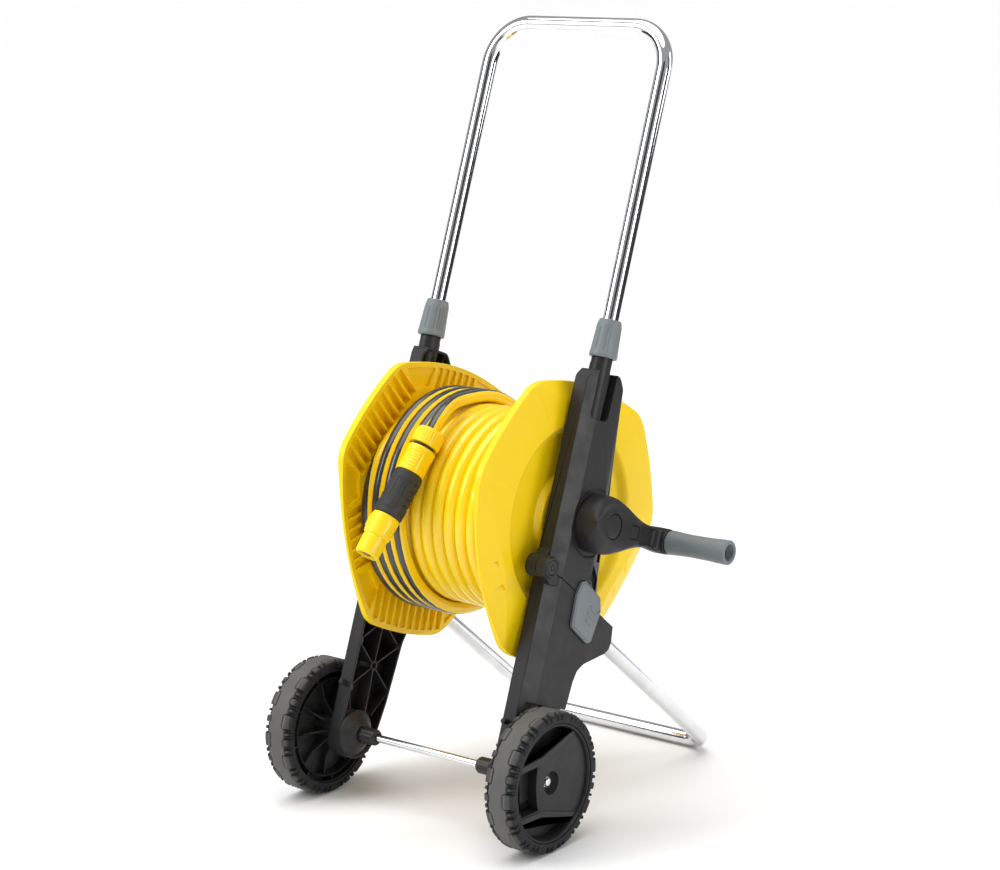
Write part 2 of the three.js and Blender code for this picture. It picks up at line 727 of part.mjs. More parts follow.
function crankArm() {
  const hub = turnedX([
    [LEG_OUTER_X - 0.4, 0],
    [LEG_OUTER_X - 0.4, HUB_RADIUS],
    [LEG_OUTER_X + 9, HUB_RADIUS],
    [HUB_TOP_X - 4, HUB_RADIUS - 4],
    [HUB_TOP_X + 3, HUB_RADIUS - 10],
    [ARM_TOP_X - 1, HUB_RADIUS - 15],
    [ARM_TOP_X, HUB_RADIUS - 17],
    [ARM_TOP_X, 0],
  ], MOST);
  const arm = prism([
    [6, -23],
    [40, -17],
    [CRANK_LENGTH - 6, -14.5],
    ...arc(CRANK_LENGTH, 0, 14.5, -70, 70, 8),
    [CRANK_LENGTH - 6, 14.5],
    [40, 17],
    [6, 23],
  ], HUB_TOP_X - 5, ARM_TOP_X);
  const end = disc(15, HUB_TOP_X - 5, ARM_TOP_X + 6, CRANK_LENGTH, 0, SOME);
  return cut(
    join(hub, arm, end),
    disc(CAP_RADIUS + GAP, ARM_TOP_X - 5, ARM_TOP_X + 1, 0, 0, SOME),
    disc(7, LEG_OUTER_X + 6, ARM_TOP_X, 0, 0, FEW),
    disc(3, LEG_OUTER_X - 1, ARM_TOP_X, 0, 0, FEW),
    prism([[34, -6.5], [48, -6.5], [48, 6.5], [34, 6.5]], ARM_TOP_X - 2, ARM_TOP_X + 1),
    disc(5, HUB_TOP_X - 6, ARM_TOP_X + 7, CRANK_LENGTH, 0, FEW),
  );
}

add(crank, "crank_arm", crankArm(), black());
add(crank, "crank_screw", join(
  disc(2.6, LEG_OUTER_X + 0.2, LEG_OUTER_X + 8, 0, 0, FEW),
  disc(6.5, LEG_OUTER_X + 6.4, LEG_OUTER_X + 11, 0, 0, FEW),
), steel());
add(crank, "crank_cap", disc(CAP_RADIUS, ARM_TOP_X - 4.6, ARM_TOP_X + 0.6, 0, 0, SOME), black());
add(crank, "crank_lock_tab", prism(
  [[34.4, -6], [47.6, -6], [47.6, 6], [34.4, 6]], ARM_TOP_X - 1.6, ARM_TOP_X + 0.3), black());
add(crank, "grip_pin", join(
  disc(4.7, HUB_TOP_X - 4, GRIP_END_X - 12, CRANK_LENGTH, 0, FEW),
  disc(7.5, GRIP_END_X - 13, GRIP_END_X - 10.5, CRANK_LENGTH, 0, FEW),
), steel());
add(crank, "crank_grip", turnedX([
  [ARM_TOP_X + 6.4, 5.1],
  [ARM_TOP_X + 6.4, 13.5],
  [ARM_TOP_X + 9, 14.3],
  [205, 14.2],
  [GRIP_END_X - 2, 13.4],
  [GRIP_END_X, 12.4],
  [GRIP_END_X, 9.5],
  [GRIP_END_X - 14, 9],
  [GRIP_END_X - 14, 5.1],
], MANY).translate(0, CRANK_LENGTH, 0), grey());

// ---------- water inlet on the left hub ----------

const INLET_X = -162;
const NIPPLE_FROM = -36;
const NIPPLE_TO = -60;

function inletElbow() {
  const body = join(
    disc(13, -173, -142.5, 0, 0, SOME),
    rod(10.5, NIPPLE_FROM, 0, INLET_X, 0, SOME),
    rod(13, NIPPLE_FROM, NIPPLE_FROM + 9, INLET_X, 0, 6),
  );
  return cut(
    body,
    disc(6.6, -165, -141, 0, 0, FEW),
    rod(5.5, NIPPLE_FROM - 1, 0, INLET_X, 0, FEW),
  );
}

add(reel, "inlet_elbow", inletElbow(), black());
add(reel, "inlet_nipple", turnedZ([
  [NIPPLE_TO, 4],
  [NIPPLE_TO, 8],
  [NIPPLE_TO + 3, 8.6],
  [NIPPLE_TO + 9, 8.6],
  [NIPPLE_TO + 10, 6.4],
  [NIPPLE_TO + 12.5, 6.4],
  [NIPPLE_TO + 13.5, 9.2],
  [NIPPLE_TO + 20, 9.2],
  [NIPPLE_TO + 21, 12.5],
  [NIPPLE_FROM - GAP, 12.5],
  [NIPPLE_FROM - GAP, 5.2],
  [NIPPLE_FROM + 14, 5.2],
  [NIPPLE_FROM + 14, 4],
], SOME).translate(INLET_X, 0, 0), grey());
add(reel, "inlet_seal", turnedZ([
  [NIPPLE_TO + 10.3, 6.7],
  [NIPPLE_TO + 10.3, 8.9],
  [NIPPLE_TO + 12.2, 8.9],
  [NIPPLE_TO + 12.2, 6.7],
]).translate(INLET_X, 0, 0), seal());

// ---------- wound hose, its free end and the nozzle ----------

corded.position.copy(reel.position);

const PART_LAYER_EDGE = -38;
add(corded, "hose_winding", turnedX([
  [-FLANGE_INNER_X + GAP, DRUM_RADIUS + GAP],
  [-FLANGE_INNER_X + GAP, WINDING_UPPER],
  [PART_LAYER_EDGE, WINDING_UPPER],
  [PART_LAYER_EDGE, WINDING_LOWER],
  [FLANGE_INNER_X - GAP, WINDING_LOWER],
  [FLANGE_INNER_X - GAP, DRUM_RADIUS + GAP],
], MOST), hose());

// The hose's end leaves the winding at the front and the nozzle hangs from it.
const STRING_FROM = new THREE.Vector3(-17, -91.8, 102);
const STRING_TO = new THREE.Vector3(-30, -187.5, -17);
const stringDirection = STRING_TO.clone().sub(STRING_FROM).normalize();
const TAIL_INTO_NUT = 10;

function tailPoints() {
  const points = [];
  const fromAngle = 20;
  const liftAngle = 88;
  const toAngle = 112;
  const radius = WINDING_LOWER + HOSE_DIAMETER / 2 + GAP;
  const startX = PART_LAYER_EDGE + HOSE_DIAMETER / 2 + GAP;
  for (let angle = fromAngle; angle < liftAngle; angle += 8.5) {
    points.push(new THREE.Vector3(
      startX, radius * Math.cos(degrees(angle)), radius * Math.sin(degrees(angle))));
  }
  const lift = new THREE.Vector3(
    startX, radius * Math.cos(degrees(liftAngle)), radius * Math.sin(degrees(liftAngle)));
  const rolling = new THREE.Vector3(0, -Math.sin(degrees(liftAngle)), Math.cos(degrees(liftAngle)));
  const end = STRING_FROM.clone().addScaledVector(stringDirection, TAIL_INTO_NUT);
  const reach = lift.distanceTo(end) * (toAngle - liftAngle) / 60;
  const bend = new THREE.CubicBezierCurve3(
    lift,
    lift.clone().addScaledVector(rolling, reach),
    STRING_FROM.clone().addScaledVector(stringDirection, -reach * 0.9),
    STRING_FROM.clone(),
  );
  points.push(...bend.getPoints(8), end);
  return points;
}

add(corded, "hose_tail", pipe(tailPoints(), HOSE_DIAMETER / 2, 0, 12), hose());

const string = new THREE.Group();
string.position.copy(STRING_FROM);
string.quaternion.setFromUnitVectors(new THREE.Vector3(0, 0, 1), stringDirection);
corded.add(string);

function hoseNut() {
  const ring = turnedZ([[0, 8.3], [0, 15.5], [3, 17.4], [20, 17.4], [20, 9.4], [12, 8.3]], MANY);
  const grooves = [];
  for (let i = 0; i < 16; i += 1) {
    const groove = rod(1.1, 2, 17, 0, 0, 4);
    groove.translate(17.7, 0, 0);
    grooves.push(groove.rotateZ(degrees(22.5 * i)));
  }
  return cut(ring, ...grooves);
}

add(string, "hose_nut", hoseNut(), yellow());
add(string, "connector_body", turnedZ([
  [12.5, 5.6],
  [12.5, 8],
  [20.4, 9],
  [20.4, 13],
  [26.5, 13],
  [26.5, 11],
  [55, 11],
  [55, 5.6],
], SOME), black());
add(string, "connector_sleeve", turnedZ([
  [24, 13.4],
  [24, 16.2],
  [38, 15.6],
  [55.7, 16.2],
  [55.7, 11.4],
  [30, 11.4],
  [30, 13.4],
], MANY), yellow());
add(string, "nozzle_body", turnedZ([
  [46, 3.6],
  [46, 5.3],
  [56.2, 5.3],
  [56.2, 14],
  [111, 14],
  [111, 10],
  [140, 10],
  [140, 3.6],
], SOME), black());
add(string, "nozzle_grip", turnedZ([
  [56.5, 14.3],
  [56.5, 17],
  [60, 17.6],
  [84, 16.8],
  [108, 17.6],
  [110.8, 17],
  [110.8, 14.3],
], MANY), rubber());
add(string, "nozzle_tip", turnedZ([
  [111.4, 10.4],
  [111.4, 16.3],
  [136, 15.6],
  [138, 13.8],
  [159, 13.2],
  [161, 12.2],
  [161, 9],
  [144, 7],
  [141, 7],
  [141, 10.4],
], MANY), yellow());
add(string, "nozzle_needle", join(
  rod(2.8, 120, 150, 0, 0, FEW),
  rod(4.6, 147, 157, 0, 0, FEW),
), black());

// ---------- origin on the ground, in the middle of the cart without its hose ----------

cart.updateMatrixWorld(true);
const extent = new THREE.Box3().setFromObject(cart, true);
const toOrigin = extent.getCenter(new THREE.Vector3()).setZ(extent.min.z).negate();
cart.position.add(toOrigin);
corded.position.add(toOrigin);

const part = new THREE.Group();
part.add(cart, corded);

export default part;
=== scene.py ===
"""Looks of the garden hose reel cart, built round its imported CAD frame.

Metres; +X is the crank side, +Y the rear, +Z up. Pieces are drawn in millimetres in a frame
of their own (the leaning legs, the reel, the stand or the nozzle) and then put in place.
"""

import json
import math

import bmesh
import bpy
import numpy as np
from mathutils import Matrix, Vector


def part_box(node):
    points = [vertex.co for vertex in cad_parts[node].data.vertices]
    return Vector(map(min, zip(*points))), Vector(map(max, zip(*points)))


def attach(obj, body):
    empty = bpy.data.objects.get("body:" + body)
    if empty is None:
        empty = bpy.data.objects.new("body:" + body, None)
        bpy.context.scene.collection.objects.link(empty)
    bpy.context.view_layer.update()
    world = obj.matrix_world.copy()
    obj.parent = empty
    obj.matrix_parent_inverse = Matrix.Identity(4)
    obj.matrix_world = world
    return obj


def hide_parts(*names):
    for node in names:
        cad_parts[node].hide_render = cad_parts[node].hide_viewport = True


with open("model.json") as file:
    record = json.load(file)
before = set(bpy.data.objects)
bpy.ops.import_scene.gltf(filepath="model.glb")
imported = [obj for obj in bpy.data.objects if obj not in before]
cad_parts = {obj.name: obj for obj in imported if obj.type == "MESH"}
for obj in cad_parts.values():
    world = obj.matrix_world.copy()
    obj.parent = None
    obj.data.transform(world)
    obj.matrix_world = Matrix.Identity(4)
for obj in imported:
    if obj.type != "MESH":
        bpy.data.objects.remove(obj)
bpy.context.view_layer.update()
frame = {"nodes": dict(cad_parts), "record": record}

# ---------- driving dimensions, in millimetres ----------

MM = 0.001
LEAN = math.radians(20.6)
WHEEL_RADIUS = 80
TUBE_X = 126
TUBE_RADIUS = 9.3
LEG_INNER_X = 112
LEG_OUTER_X = 140
LEG_WALL = 3
LEG_FRONT = -25
HOSE_DIAMETER = 15.5


def middle(node):
    low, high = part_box(node)
    return (low + high) / 2


AXLE = middle("axle_rod")
REEL = middle("drum_core")


def frame_at(point, turn=0.0):
    """Millimetres in a frame at that point, turned about X, to metres in the cart's frame."""
    return Matrix.Translation(point) @ Matrix.Rotation(turn, 4, "X") @ Matrix.Scale(MM, 4)


AT_LEGS = frame_at(AXLE, -LEAN)
AT_WHEELS = frame_at(AXLE)
AT_REEL = frame_at(REEL)
AT_CRANK = frame_at(REEL, -LEAN)
ABOUT_X = Matrix.Rotation(math.pi / 2, 4, "Y")  # what was turned about Z is turned about X
SIDES = {"right": Matrix.Identity(4), "left": Matrix.Scale(-1, 4, (1, 0, 0))}


def shifted(x=0, across=0, along=0):
    return Matrix.Translation((x, across, along))


def turned_about_x(degrees):
    return Matrix.Rotation(math.radians(degrees), 4, "X")


# ---------- materials ----------


class Nodes:
    """A material's node tree, with short calls for its nodes."""

    def __init__(self, name):
        self.material = bpy.data.materials.new(name)
        self.material.use_nodes = True
        self.tree = self.material.node_tree
        self.shader = self.tree.nodes["Principled BSDF"]
        self.place = self.tree.nodes.new("ShaderNodeTexCoord").outputs["Object"]

    def node(self, kind, inputs=(), **settings):
        made = self.tree.nodes.new(kind)
        for key, value in settings.items():
            setattr(made, key, value)
        for key, value in dict(inputs).items():
            self.feed(made.inputs[key], value)
        return made

    def feed(self, socket, value):
        if isinstance(value, bpy.types.NodeSocket):
            self.tree.links.new(value, socket)
        else:
            socket.default_value = value

    def noise(self, scale, detail=3.0, stretch=None, roughness=0.5):
        place = self.place
        if stretch:
            mapping = self.node("ShaderNodeMapping", {"Vector": place, "Scale": stretch})
            place = mapping.outputs["Vector"]
        made = self.node("ShaderNodeTexNoise", {
            "Vector": place, "Scale": scale, "Detail": detail, "Roughness": roughness})
        return made.outputs["Fac"]

    def spread(self, value, low, high, from_low=0.3, from_high=0.7):
        made = self.node("ShaderNodeMapRange", {
            "Value": value, "From Min": from_low, "From Max": from_high,
            "To Min": low, "To Max": high})
        return made.outputs["Result"]

    def mix(self, factor, first, second):
        made = self.node("ShaderNodeMix", data_type="RGBA")
        self.feed(made.inputs[0], factor)
        self.feed(made.inputs[6], first)
        self.feed(made.inputs[7], second)
        return made.outputs[2]

    def maths(self, operation, first, second):
        made = self.node("ShaderNodeMath", operation=operation)
        self.feed(made.inputs[0], first)
        self.feed(made.inputs[1], second)
        return made.outputs[0]

    def bump(self, height, distance, strength=1.0, normal=None):
        made = self.node("ShaderNodeBump", {
            "Height": height, "Distance": distance, "Strength": strength})
        if normal is not None:
            self.feed(made.inputs["Normal"], normal)
        return made.outputs["Normal"]

    def edges(self, low, high):
        """0 on flat surfaces and 1 along edges that stick out."""
        sharp = self.node("ShaderNodeNewGeometry").outputs["Pointiness"]
        return self.spread(sharp, 0.0, 1.0, low, high)

    def surface(self, colour, roughness):
        self.feed(self.shader.inputs["Base Color"], colour)
        self.feed(self.shader.inputs["Roughness"], roughness)

    def relief(self, normal):
        self.feed(self.shader.inputs["Normal"], normal)

    def fix(self, **values):
        """Sets sockets of the shader that are the same all over the surface."""
        for key, value in values.items():
            self.shader.inputs[key.replace("_", " ")].default_value = value


def rgb(red, green, blue):
    return (red, green, blue, 1.0)


def plastic(name, colour, shade, rough, grain_mm, grain_depth, gloss=0.5, coat=0.0, edge_wear_and_highlight=None):
    """Moulded plastic: colour drifts to shade, with a grain; edges that stick out can be painted
    lighter, partly as wear and partly as a painted highlight.
    """
    n = Nodes(name)
    drift = n.spread(n.noise(14.0, 4.0), 0.0, 1.0)
    body = n.mix(drift, colour, shade)
    if edge_wear_and_highlight:
        # Painted highlight: edges that stick out are mixed towards a lighter colour, partly as wear
        # and partly as light catching them.
        body = n.mix(n.maths("MULTIPLY", n.edges(0.53, 0.62), n.noise(160.0)), body, edge_wear_and_highlight)
    n.surface(body, n.spread(n.noise(60.0, 5.0), rough - 0.05, rough + 0.07))
    n.fix(Specular_IOR_Level=gloss, Coat_Weight=coat, Coat_Roughness=0.12)
    grain = n.noise(1000.0 / grain_mm, 2.0, roughness=0.6)
    waves = n.bump(n.noise(22.0, 2.0), 0.0004, 0.25)
    n.relief(n.bump(grain, grain_depth * MM, 0.6, waves))
    return n.material


def metal(name, colour, rough, streak, scratch_depth):
    """Bright metal with fine drawing lines and small changes of gloss."""
    n = Nodes(name)
    n.fix(Metallic=1.0)
    cloud = n.spread(n.noise(30.0, 4.0), 0.0, 1.0)
    dull = tuple(c * 0.86 for c in colour[:3]) + (1.0,)
    lines = n.noise(260.0, 5.0, stretch=streak)
    n.surface(n.mix(cloud, colour, dull), n.spread(lines, rough * 0.6, rough * 1.5))
    n.relief(n.bump(lines, scratch_depth * MM, 0.35))
    return n.material


def rubber_material(name, colour, dust, rough, grain_mm, worn=None):
    """Rubber with a dull bloom in patches, and an optional lighter colour where the mesh's attribute
    says: partly tread wear, partly painted light.
    """
    n = Nodes(name)
    patches = n.spread(n.noise(38.0, 6.0, roughness=0.65), 0.0, 1.0, 0.35, 0.68)
    body = n.mix(patches, colour, dust)
    # Painted light: the lighter colour goes where the mesh marks the tread's crown, partly as wear
    # and partly as light falling on it.
    if worn:
        amount = n.node("ShaderNodeAttribute", attribute_name="worn").outputs["Fac"]
        mottle = n.spread(n.noise(55.0, 5.0, roughness=0.7), 0.8, 1.0, 0.3, 0.65)
        body = n.mix(n.maths("MULTIPLY", amount, mottle), body, worn)
    n.surface(body, n.spread(n.noise(110.0, 4.0), rough - 0.08, rough + 0.08))
    n.fix(Specular_IOR_Level=0.3)
    n.relief(n.bump(n.noise(1000.0 / grain_mm, 3.0), 0.00025, 0.5))
    return n.material


def hose_material():
    """Glossy yellow hose with one dark stripe along it; the stripe is placed by the tube's UVs."""
    n = Nodes("hose_skin")
    lay = n.node("ShaderNodeUVMap", uv_map="lay").outputs["UV"]
    around = n.node("ShaderNodeSeparateXYZ", {"Vector": lay}).outputs["X"]
    from_middle = n.maths("ABSOLUTE", n.maths("SUBTRACT", around, 0.5), 0.0)
    ragged = n.maths("ADD", from_middle, n.spread(n.noise(300.0, 2.0), -0.003, 0.003))
    plain = n.spread(ragged, 0.0, 1.0, 0.104, 0.110)
    drift = n.spread(n.noise(12.0, 3.0), 0.0, 1.0)
    skin = n.mix(drift, rgb(1.0, 0.69, 0.004), rgb(1.0, 0.74, 0.015))
    stripe = n.mix(drift, rgb(0.020, 0.022, 0.028), rgb(0.032, 0.034, 0.042))
    n.surface(n.mix(plain, stripe, skin), n.spread(n.noise(70.0, 4.0), 0.16, 0.27))
    n.fix(Coat_Weight=0.35, Coat_Roughness=0.08)
    n.relief(n.bump(n.noise(240.0, 4.0), 0.0003, 0.25))
    return n.material


YELLOW = plastic(
    "yellow_plastic", rgb(1.0, 0.69, 0.0), rgb(1.0, 0.67, 0.0), 0.36, 1.1, 0.006, 0.34, 0.0)
NOZZLE_YELLOW = plastic(
    "nozzle_yellow_plastic", rgb(1.0, 0.74, 0.0), rgb(1.0, 0.70, 0.0), 0.36, 0.9, 0.02, 0.45, 0.1)
# The last colour is for edges that stick out: partly wear, partly a painted highlight.
BLACK = plastic(
    "black_plastic", rgb(0.013, 0.013, 0.014), rgb(0.019, 0.0185, 0.019), 0.46, 1.3, 0.12,
    0.34, 0.0, rgb(0.06, 0.06, 0.06))
SMOOTH_BLACK = plastic(
    "smooth_black_plastic", rgb(0.012, 0.012, 0.013), rgb(0.018, 0.018, 0.019), 0.38, 0.8, 0.04,
    0.4)
# The last colour is for edges that stick out: partly wear, partly a painted highlight.
GREY = plastic(
    "grey_plastic", rgb(0.185, 0.212, 0.224), rgb(0.165, 0.190, 0.200), 0.46, 1.0, 0.05,
    0.45, 0.0, rgb(0.27, 0.30, 0.31))
# The last colour is the lighter crown: partly tread wear, partly painted light.
TYRE = rubber_material(
    "tyre_rubber", rgb(0.009, 0.010, 0.012), rgb(0.015, 0.016, 0.018), 0.62, 1.6,
    rgb(0.115, 0.113, 0.108))
GRIP_RUBBER = rubber_material(
    "grip_rubber", rgb(0.030, 0.030, 0.032), rgb(0.042, 0.042, 0.044), 0.58, 0.9)
SEAL = rubber_material("seal_rubber", rgb(0.010, 0.010, 0.010), rgb(0.016, 0.016, 0.016), 0.5, 0.6)
CHROME = metal("chromed_tube", rgb(0.86, 0.87, 0.89), 0.07, (1, 1, 0.08), 0.01)
STEEL = metal("bright_steel", rgb(0.84, 0.85, 0.87), 0.13, (0.05, 0.3, 0.3), 0.004)
HOSE = hose_material()

FINISHES = {
    "black_plastic": BLACK, "yellow_plastic": YELLOW, "grey_plastic": GREY,
    "tyre_rubber": TYRE, "grip_rubber": GRIP_RUBBER, "seal_rubber": SEAL,
    "chromed_tube": CHROME, "bright_steel": STEEL, "hose_skin": HOSE,
}
NODE_SLOT = {part["node"]: part["material_slot"] for part in frame["record"]["subparts"]}
NODE_BODY = {
    node: body
    for body, nodes in frame["record"]["behaviour"]["bodies"].items()
    for node in nodes
}

for node, obj in frame["nodes"].items():
    obj.data.materials.clear()
    obj.data.materials.append(FINISHES[NODE_SLOT[node]])

# ---------- meshes ----------


def linked(name, data):
    """A new object in the scene."""
    obj = bpy.data.objects.new(name, data)
    bpy.context.scene.collection.objects.link(obj)
    return obj


def between(rings, count, closed=False):
    """Quads from each ring of count points to the next, and from the last to the first if closed."""
    pairs = [(i, i + 1) for i in range(rings - 1)] + ([(rings - 1, 0)] if closed else [])
    return [
        (i * count + j, i * count + (j + 1) % count, k * count + (j + 1) % count, k * count + j)
        for i, k in pairs
        for j in range(count)
    ]


def piece(name, vertices, faces, place):
    """A closed mesh, its vertices in the placing frame and its faces turned outward."""
    points = np.c_[np.asarray(vertices, float), np.ones(len(vertices))]
    mesh = bpy.data.meshes.new(name)
    mesh.from_pydata((points @ np.array(place).T)[:, :3].tolist(), [], faces)
    work = bmesh.new()
    work.from_mesh(mesh)
    bmesh.ops.remove_doubles(work, verts=work.verts, dist=1e-6)
    bmesh.ops.recalc_face_normals(work, faces=work.faces)
    work.to_mesh(mesh)
    work.free()
    return linked(name, mesh)


def rounded(points, radius, steps=3):
    """A closed outline with round corners; a point's third number is a radius of its own."""
    result = []
    count = len(points)
    for i, point in enumerate(points):
        here = Vector(point[:2])
        before = Vector(points[i - 1][:2]) - here
        after = Vector(points[(i + 1) % count][:2]) - here
        size = point[2] if len(point) > 2 else radius
        if size <= 0 or before.length < 1e-6 or after.length < 1e-6:
            result.append(here)
            continue
        opening = before.angle(after)
        if opening > math.radians(174):
            result.append(here)
            continue
        reach = min(size / math.tan(opening / 2), 0.45 * before.length, 0.45 * after.length)
        first = here + before.normalized() * reach
        last = here + after.normalized() * reach
        for k in range(steps + 1):
            t = k / steps
            result.append(first * (1 - t) ** 2 + here * 2 * t * (1 - t) + last * t * t)
    return [(p[0], p[1]) for p in result]


def polar(radius, degrees, centre=(0, 0)):
    """A point round the centre, its angle counted from the first axis towards the second."""
    turn = math.radians(degrees)
    return centre[0] + radius * math.cos(turn), centre[1] + radius * math.sin(turn)


def arc(centre, radius, start, end, steps):
    return [
        polar(radius, start + (end - start) * i / steps, centre) for i in range(steps + 1)
    ]


def turned(name, profile, place, sides=96, wave=None, fillet=0.6, steps=3):
    """A closed profile of (distance, radius) points turned about Z; wave(angle, z, r) moves r."""
    profile = [p if p[1] > 0 else (p[0], 0, 0) for p in profile]
    loop = np.array(rounded(profile, fillet, steps) if fillet else [p[:2] for p in profile])
    angles = np.linspace(0, 2 * math.pi, sides, endpoint=False)[:, None]
    z = np.repeat(loop[None, :, 0], sides, 0)
    r = np.repeat(loop[None, :, 1], sides, 0)
    if wave:
        r = np.where(r > 1e-6, r + wave(angles, z, r), r)
    vertices = np.stack([r * np.cos(angles), r * np.sin(angles), z], -1).reshape(-1, 3)
    return piece(name, vertices, between(sides, len(loop), closed=True), place)


def cylinder(name, radius, low, high, place, sides=64):
    """A plain round bar along Z, to join or to cut with."""
    profile = [(low, 0), (low, radius), (high, radius), (high, 0)]
    return turned(name, profile, place, sides, fillet=0)


def extruded(name, first, last, place):
    """Two matching rings of points, closed at both ends."""
    count = len(first)
    ends = [tuple(range(count)), tuple(range(2 * count - 1, count - 1, -1))]
    return piece(name, [*first, *last], ends + between(2, count), place)


def prism(name, outline, low, high, place):
    """An outline of (across, along) points, extruded from low to high along X."""
    first, last = ([(x, p[0], p[1]) for p in outline] for x in (low, high))
    return extruded(name, first, last, place)


def hexahedron(name, corners, place):
    """Eight corners: four around the first end and the four opposite them."""
    faces = [(0, 1, 2, 3), (7, 6, 5, 4), (0, 4, 5, 1), (1, 5, 6, 2), (2, 6, 7, 3), (3, 7, 4, 0)]
    return piece(name, corners, faces, place)


def swept(name, path, radius, place, sides=40):
    """A tube with closed ends along a path."""
    path = np.asarray(path, float)
    ahead = np.gradient(path, axis=0)
    ahead /= np.linalg.norm(ahead, axis=1)[:, None]
    side = np.cross(ahead[0], [0, 0, 1] if abs(ahead[0][2]) < 0.9 else [1, 0, 0])
    rings = []
    for i, point in enumerate(path):
        side = side - ahead[i] * side.dot(ahead[i])
        side /= np.linalg.norm(side)
        other = np.cross(ahead[i], side)
        angles = np.linspace(0, 2 * math.pi, sides, endpoint=False)[:, None]
        rings.append(point + radius * (np.cos(angles) * side + np.sin(angles) * other))
    vertices = np.concatenate(rings)
    first_end = tuple(range(sides - 1, -1, -1))
    last_end = tuple(range((len(path) - 1) * sides, len(path) * sides))
    faces = [first_end, *between(len(path), sides), last_end]
    return piece(name, vertices, faces, place)


def settle(obj):
    """Applies the modifiers."""
    graph = bpy.context.evaluated_depsgraph_get()
    mesh = bpy.data.meshes.new_from_object(obj.evaluated_get(graph))
    obj.modifiers.clear()
    obj.data = mesh
    return obj


def combined(operation, obj, others):
    for other in others:
        step = obj.modifiers.new("combine", "BOOLEAN")
        step.operation = operation
        step.solver = "MANIFOLD"
        step.object = other
    settle(obj)
    for other in others:
        bpy.data.objects.remove(other)
    return obj


def cut(obj, *others):
    return combined("DIFFERENCE", obj, others)


def join(obj, *others):
    return combined("UNION", obj, others)


def even_normals(obj, angle=60):
    """Smooth shading that leaves large flat faces flat."""
    step = obj.modifiers.new("shading", "WEIGHTED_NORMAL")
    step.weight = 80
    step.keep_sharp = True
    shade(obj, angle)
    return settle(obj)


def bevel(obj, width, segments, angle):
    step = obj.modifiers.new("edges", "BEVEL")
    step.width = width * MM
    step.segments = segments
    step.limit_method = "ANGLE"
    step.angle_limit = math.radians(angle)
    return step


def soften(obj, width, segments=2, angle=28):
    """Rounds the sharp edges by width millimetres."""
    work = bmesh.new()
    work.from_mesh(obj.data)
    bmesh.ops.remove_doubles(work, verts=work.verts, dist=2e-6)
    bmesh.ops.dissolve_limit(
        work, angle_limit=math.radians(0.6), verts=work.verts, edges=work.edges)
    work.to_mesh(obj.data)
    work.free()
    step = bevel(obj, width, segments, angle)
    step.use_clamp_overlap = False
    step.miter_outer = "MITER_ARC"
    return even_normals(obj)


def shade(obj, angle=38):
    obj.data.shade_smooth()
    obj.data.set_sharp_from_angle(angle=math.radians(angle))
    return obj


def dress(obj, finish, *nodes):
    """Gives a piece its finish and body, and lets it stand for those CAD nodes."""
    obj.data.materials.clear()
    obj.data.materials.append(finish)
    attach(obj, NODE_BODY[nodes[0]])
    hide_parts(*nodes)
    return obj


# ---------- the hose: wound in layers, then its free end over the top to the nut ----------

LAYER_RADII = (82.3, 95.8, 109.3)
TOP_LAYER_RADIUS = 124.9
TURNS = 11
WINDING_END_X = 86.8
CLIMB = 0.25  # turns in which the hose climbs to the next layer
START_ANGLE = 90
TAIL_ANGLE = 20
TAIL_X = -29.95
TAIL_RADIUS = 125.25
LIFT_ANGLE = 88
POINTS_PER_TURN = 48
PART_LAYER_TURNS = 3  # whole turns, besides what brings the hose to the tail's angle
STRING_FROM = Vector((-17, -91.8, 102))
STRING_TO = Vector((-30, -187.5, -17))
STRING_LINE = (STRING_TO - STRING_FROM).normalized()
AT_STRING = AT_REEL @ Matrix.Translation(STRING_FROM) @ (
    Vector((0, 0, 1)).rotation_difference(STRING_LINE).to_matrix().to_4x4())
TAIL_INTO_NUT = 10


def hose_stations():
    """Each run as (turns, X from and to, radius from and to, stripe outward from and to)."""
    runs = []
    side = WINDING_END_X
    for i, radius in enumerate(LAYER_RADII):
        turns = TURNS - (CLIMB if i else 0)
        runs.append((turns, side, -side, radius, radius, 0, 0))
        above = (*LAYER_RADII, TOP_LAYER_RADIUS)[i + 1]
        outward = 1 if i == len(LAYER_RADII) - 1 else 0
        runs.append((CLIMB, -side, -side, radius, above, 0, outward))
        side = -side
    wound = sum(run[0] for run in runs)
    whole = math.ceil(wound + (START_ANGLE - TAIL_ANGLE) / 360) + PART_LAYER_TURNS
    last = whole - (START_ANGLE - TAIL_ANGLE) / 360 - wound
    runs.append((last, side, TAIL_X, TOP_LAYER_RADIUS, TAIL_RADIUS, 1, 1))
    over_top = (LIFT_ANGLE - TAIL_ANGLE) / 360
    runs.append((over_top, TAIL_X, TAIL_X, TAIL_RADIUS, TAIL_RADIUS, 1, 1))
    return runs


def bezier(a, b, c, d, steps):
    return [
        a * (1 - t) ** 3 + b * 3 * t * (1 - t) ** 2 + c * 3 * t * t * (1 - t) + d * t ** 3
        for t in (i / steps for i in range(1, steps + 1))
    ]


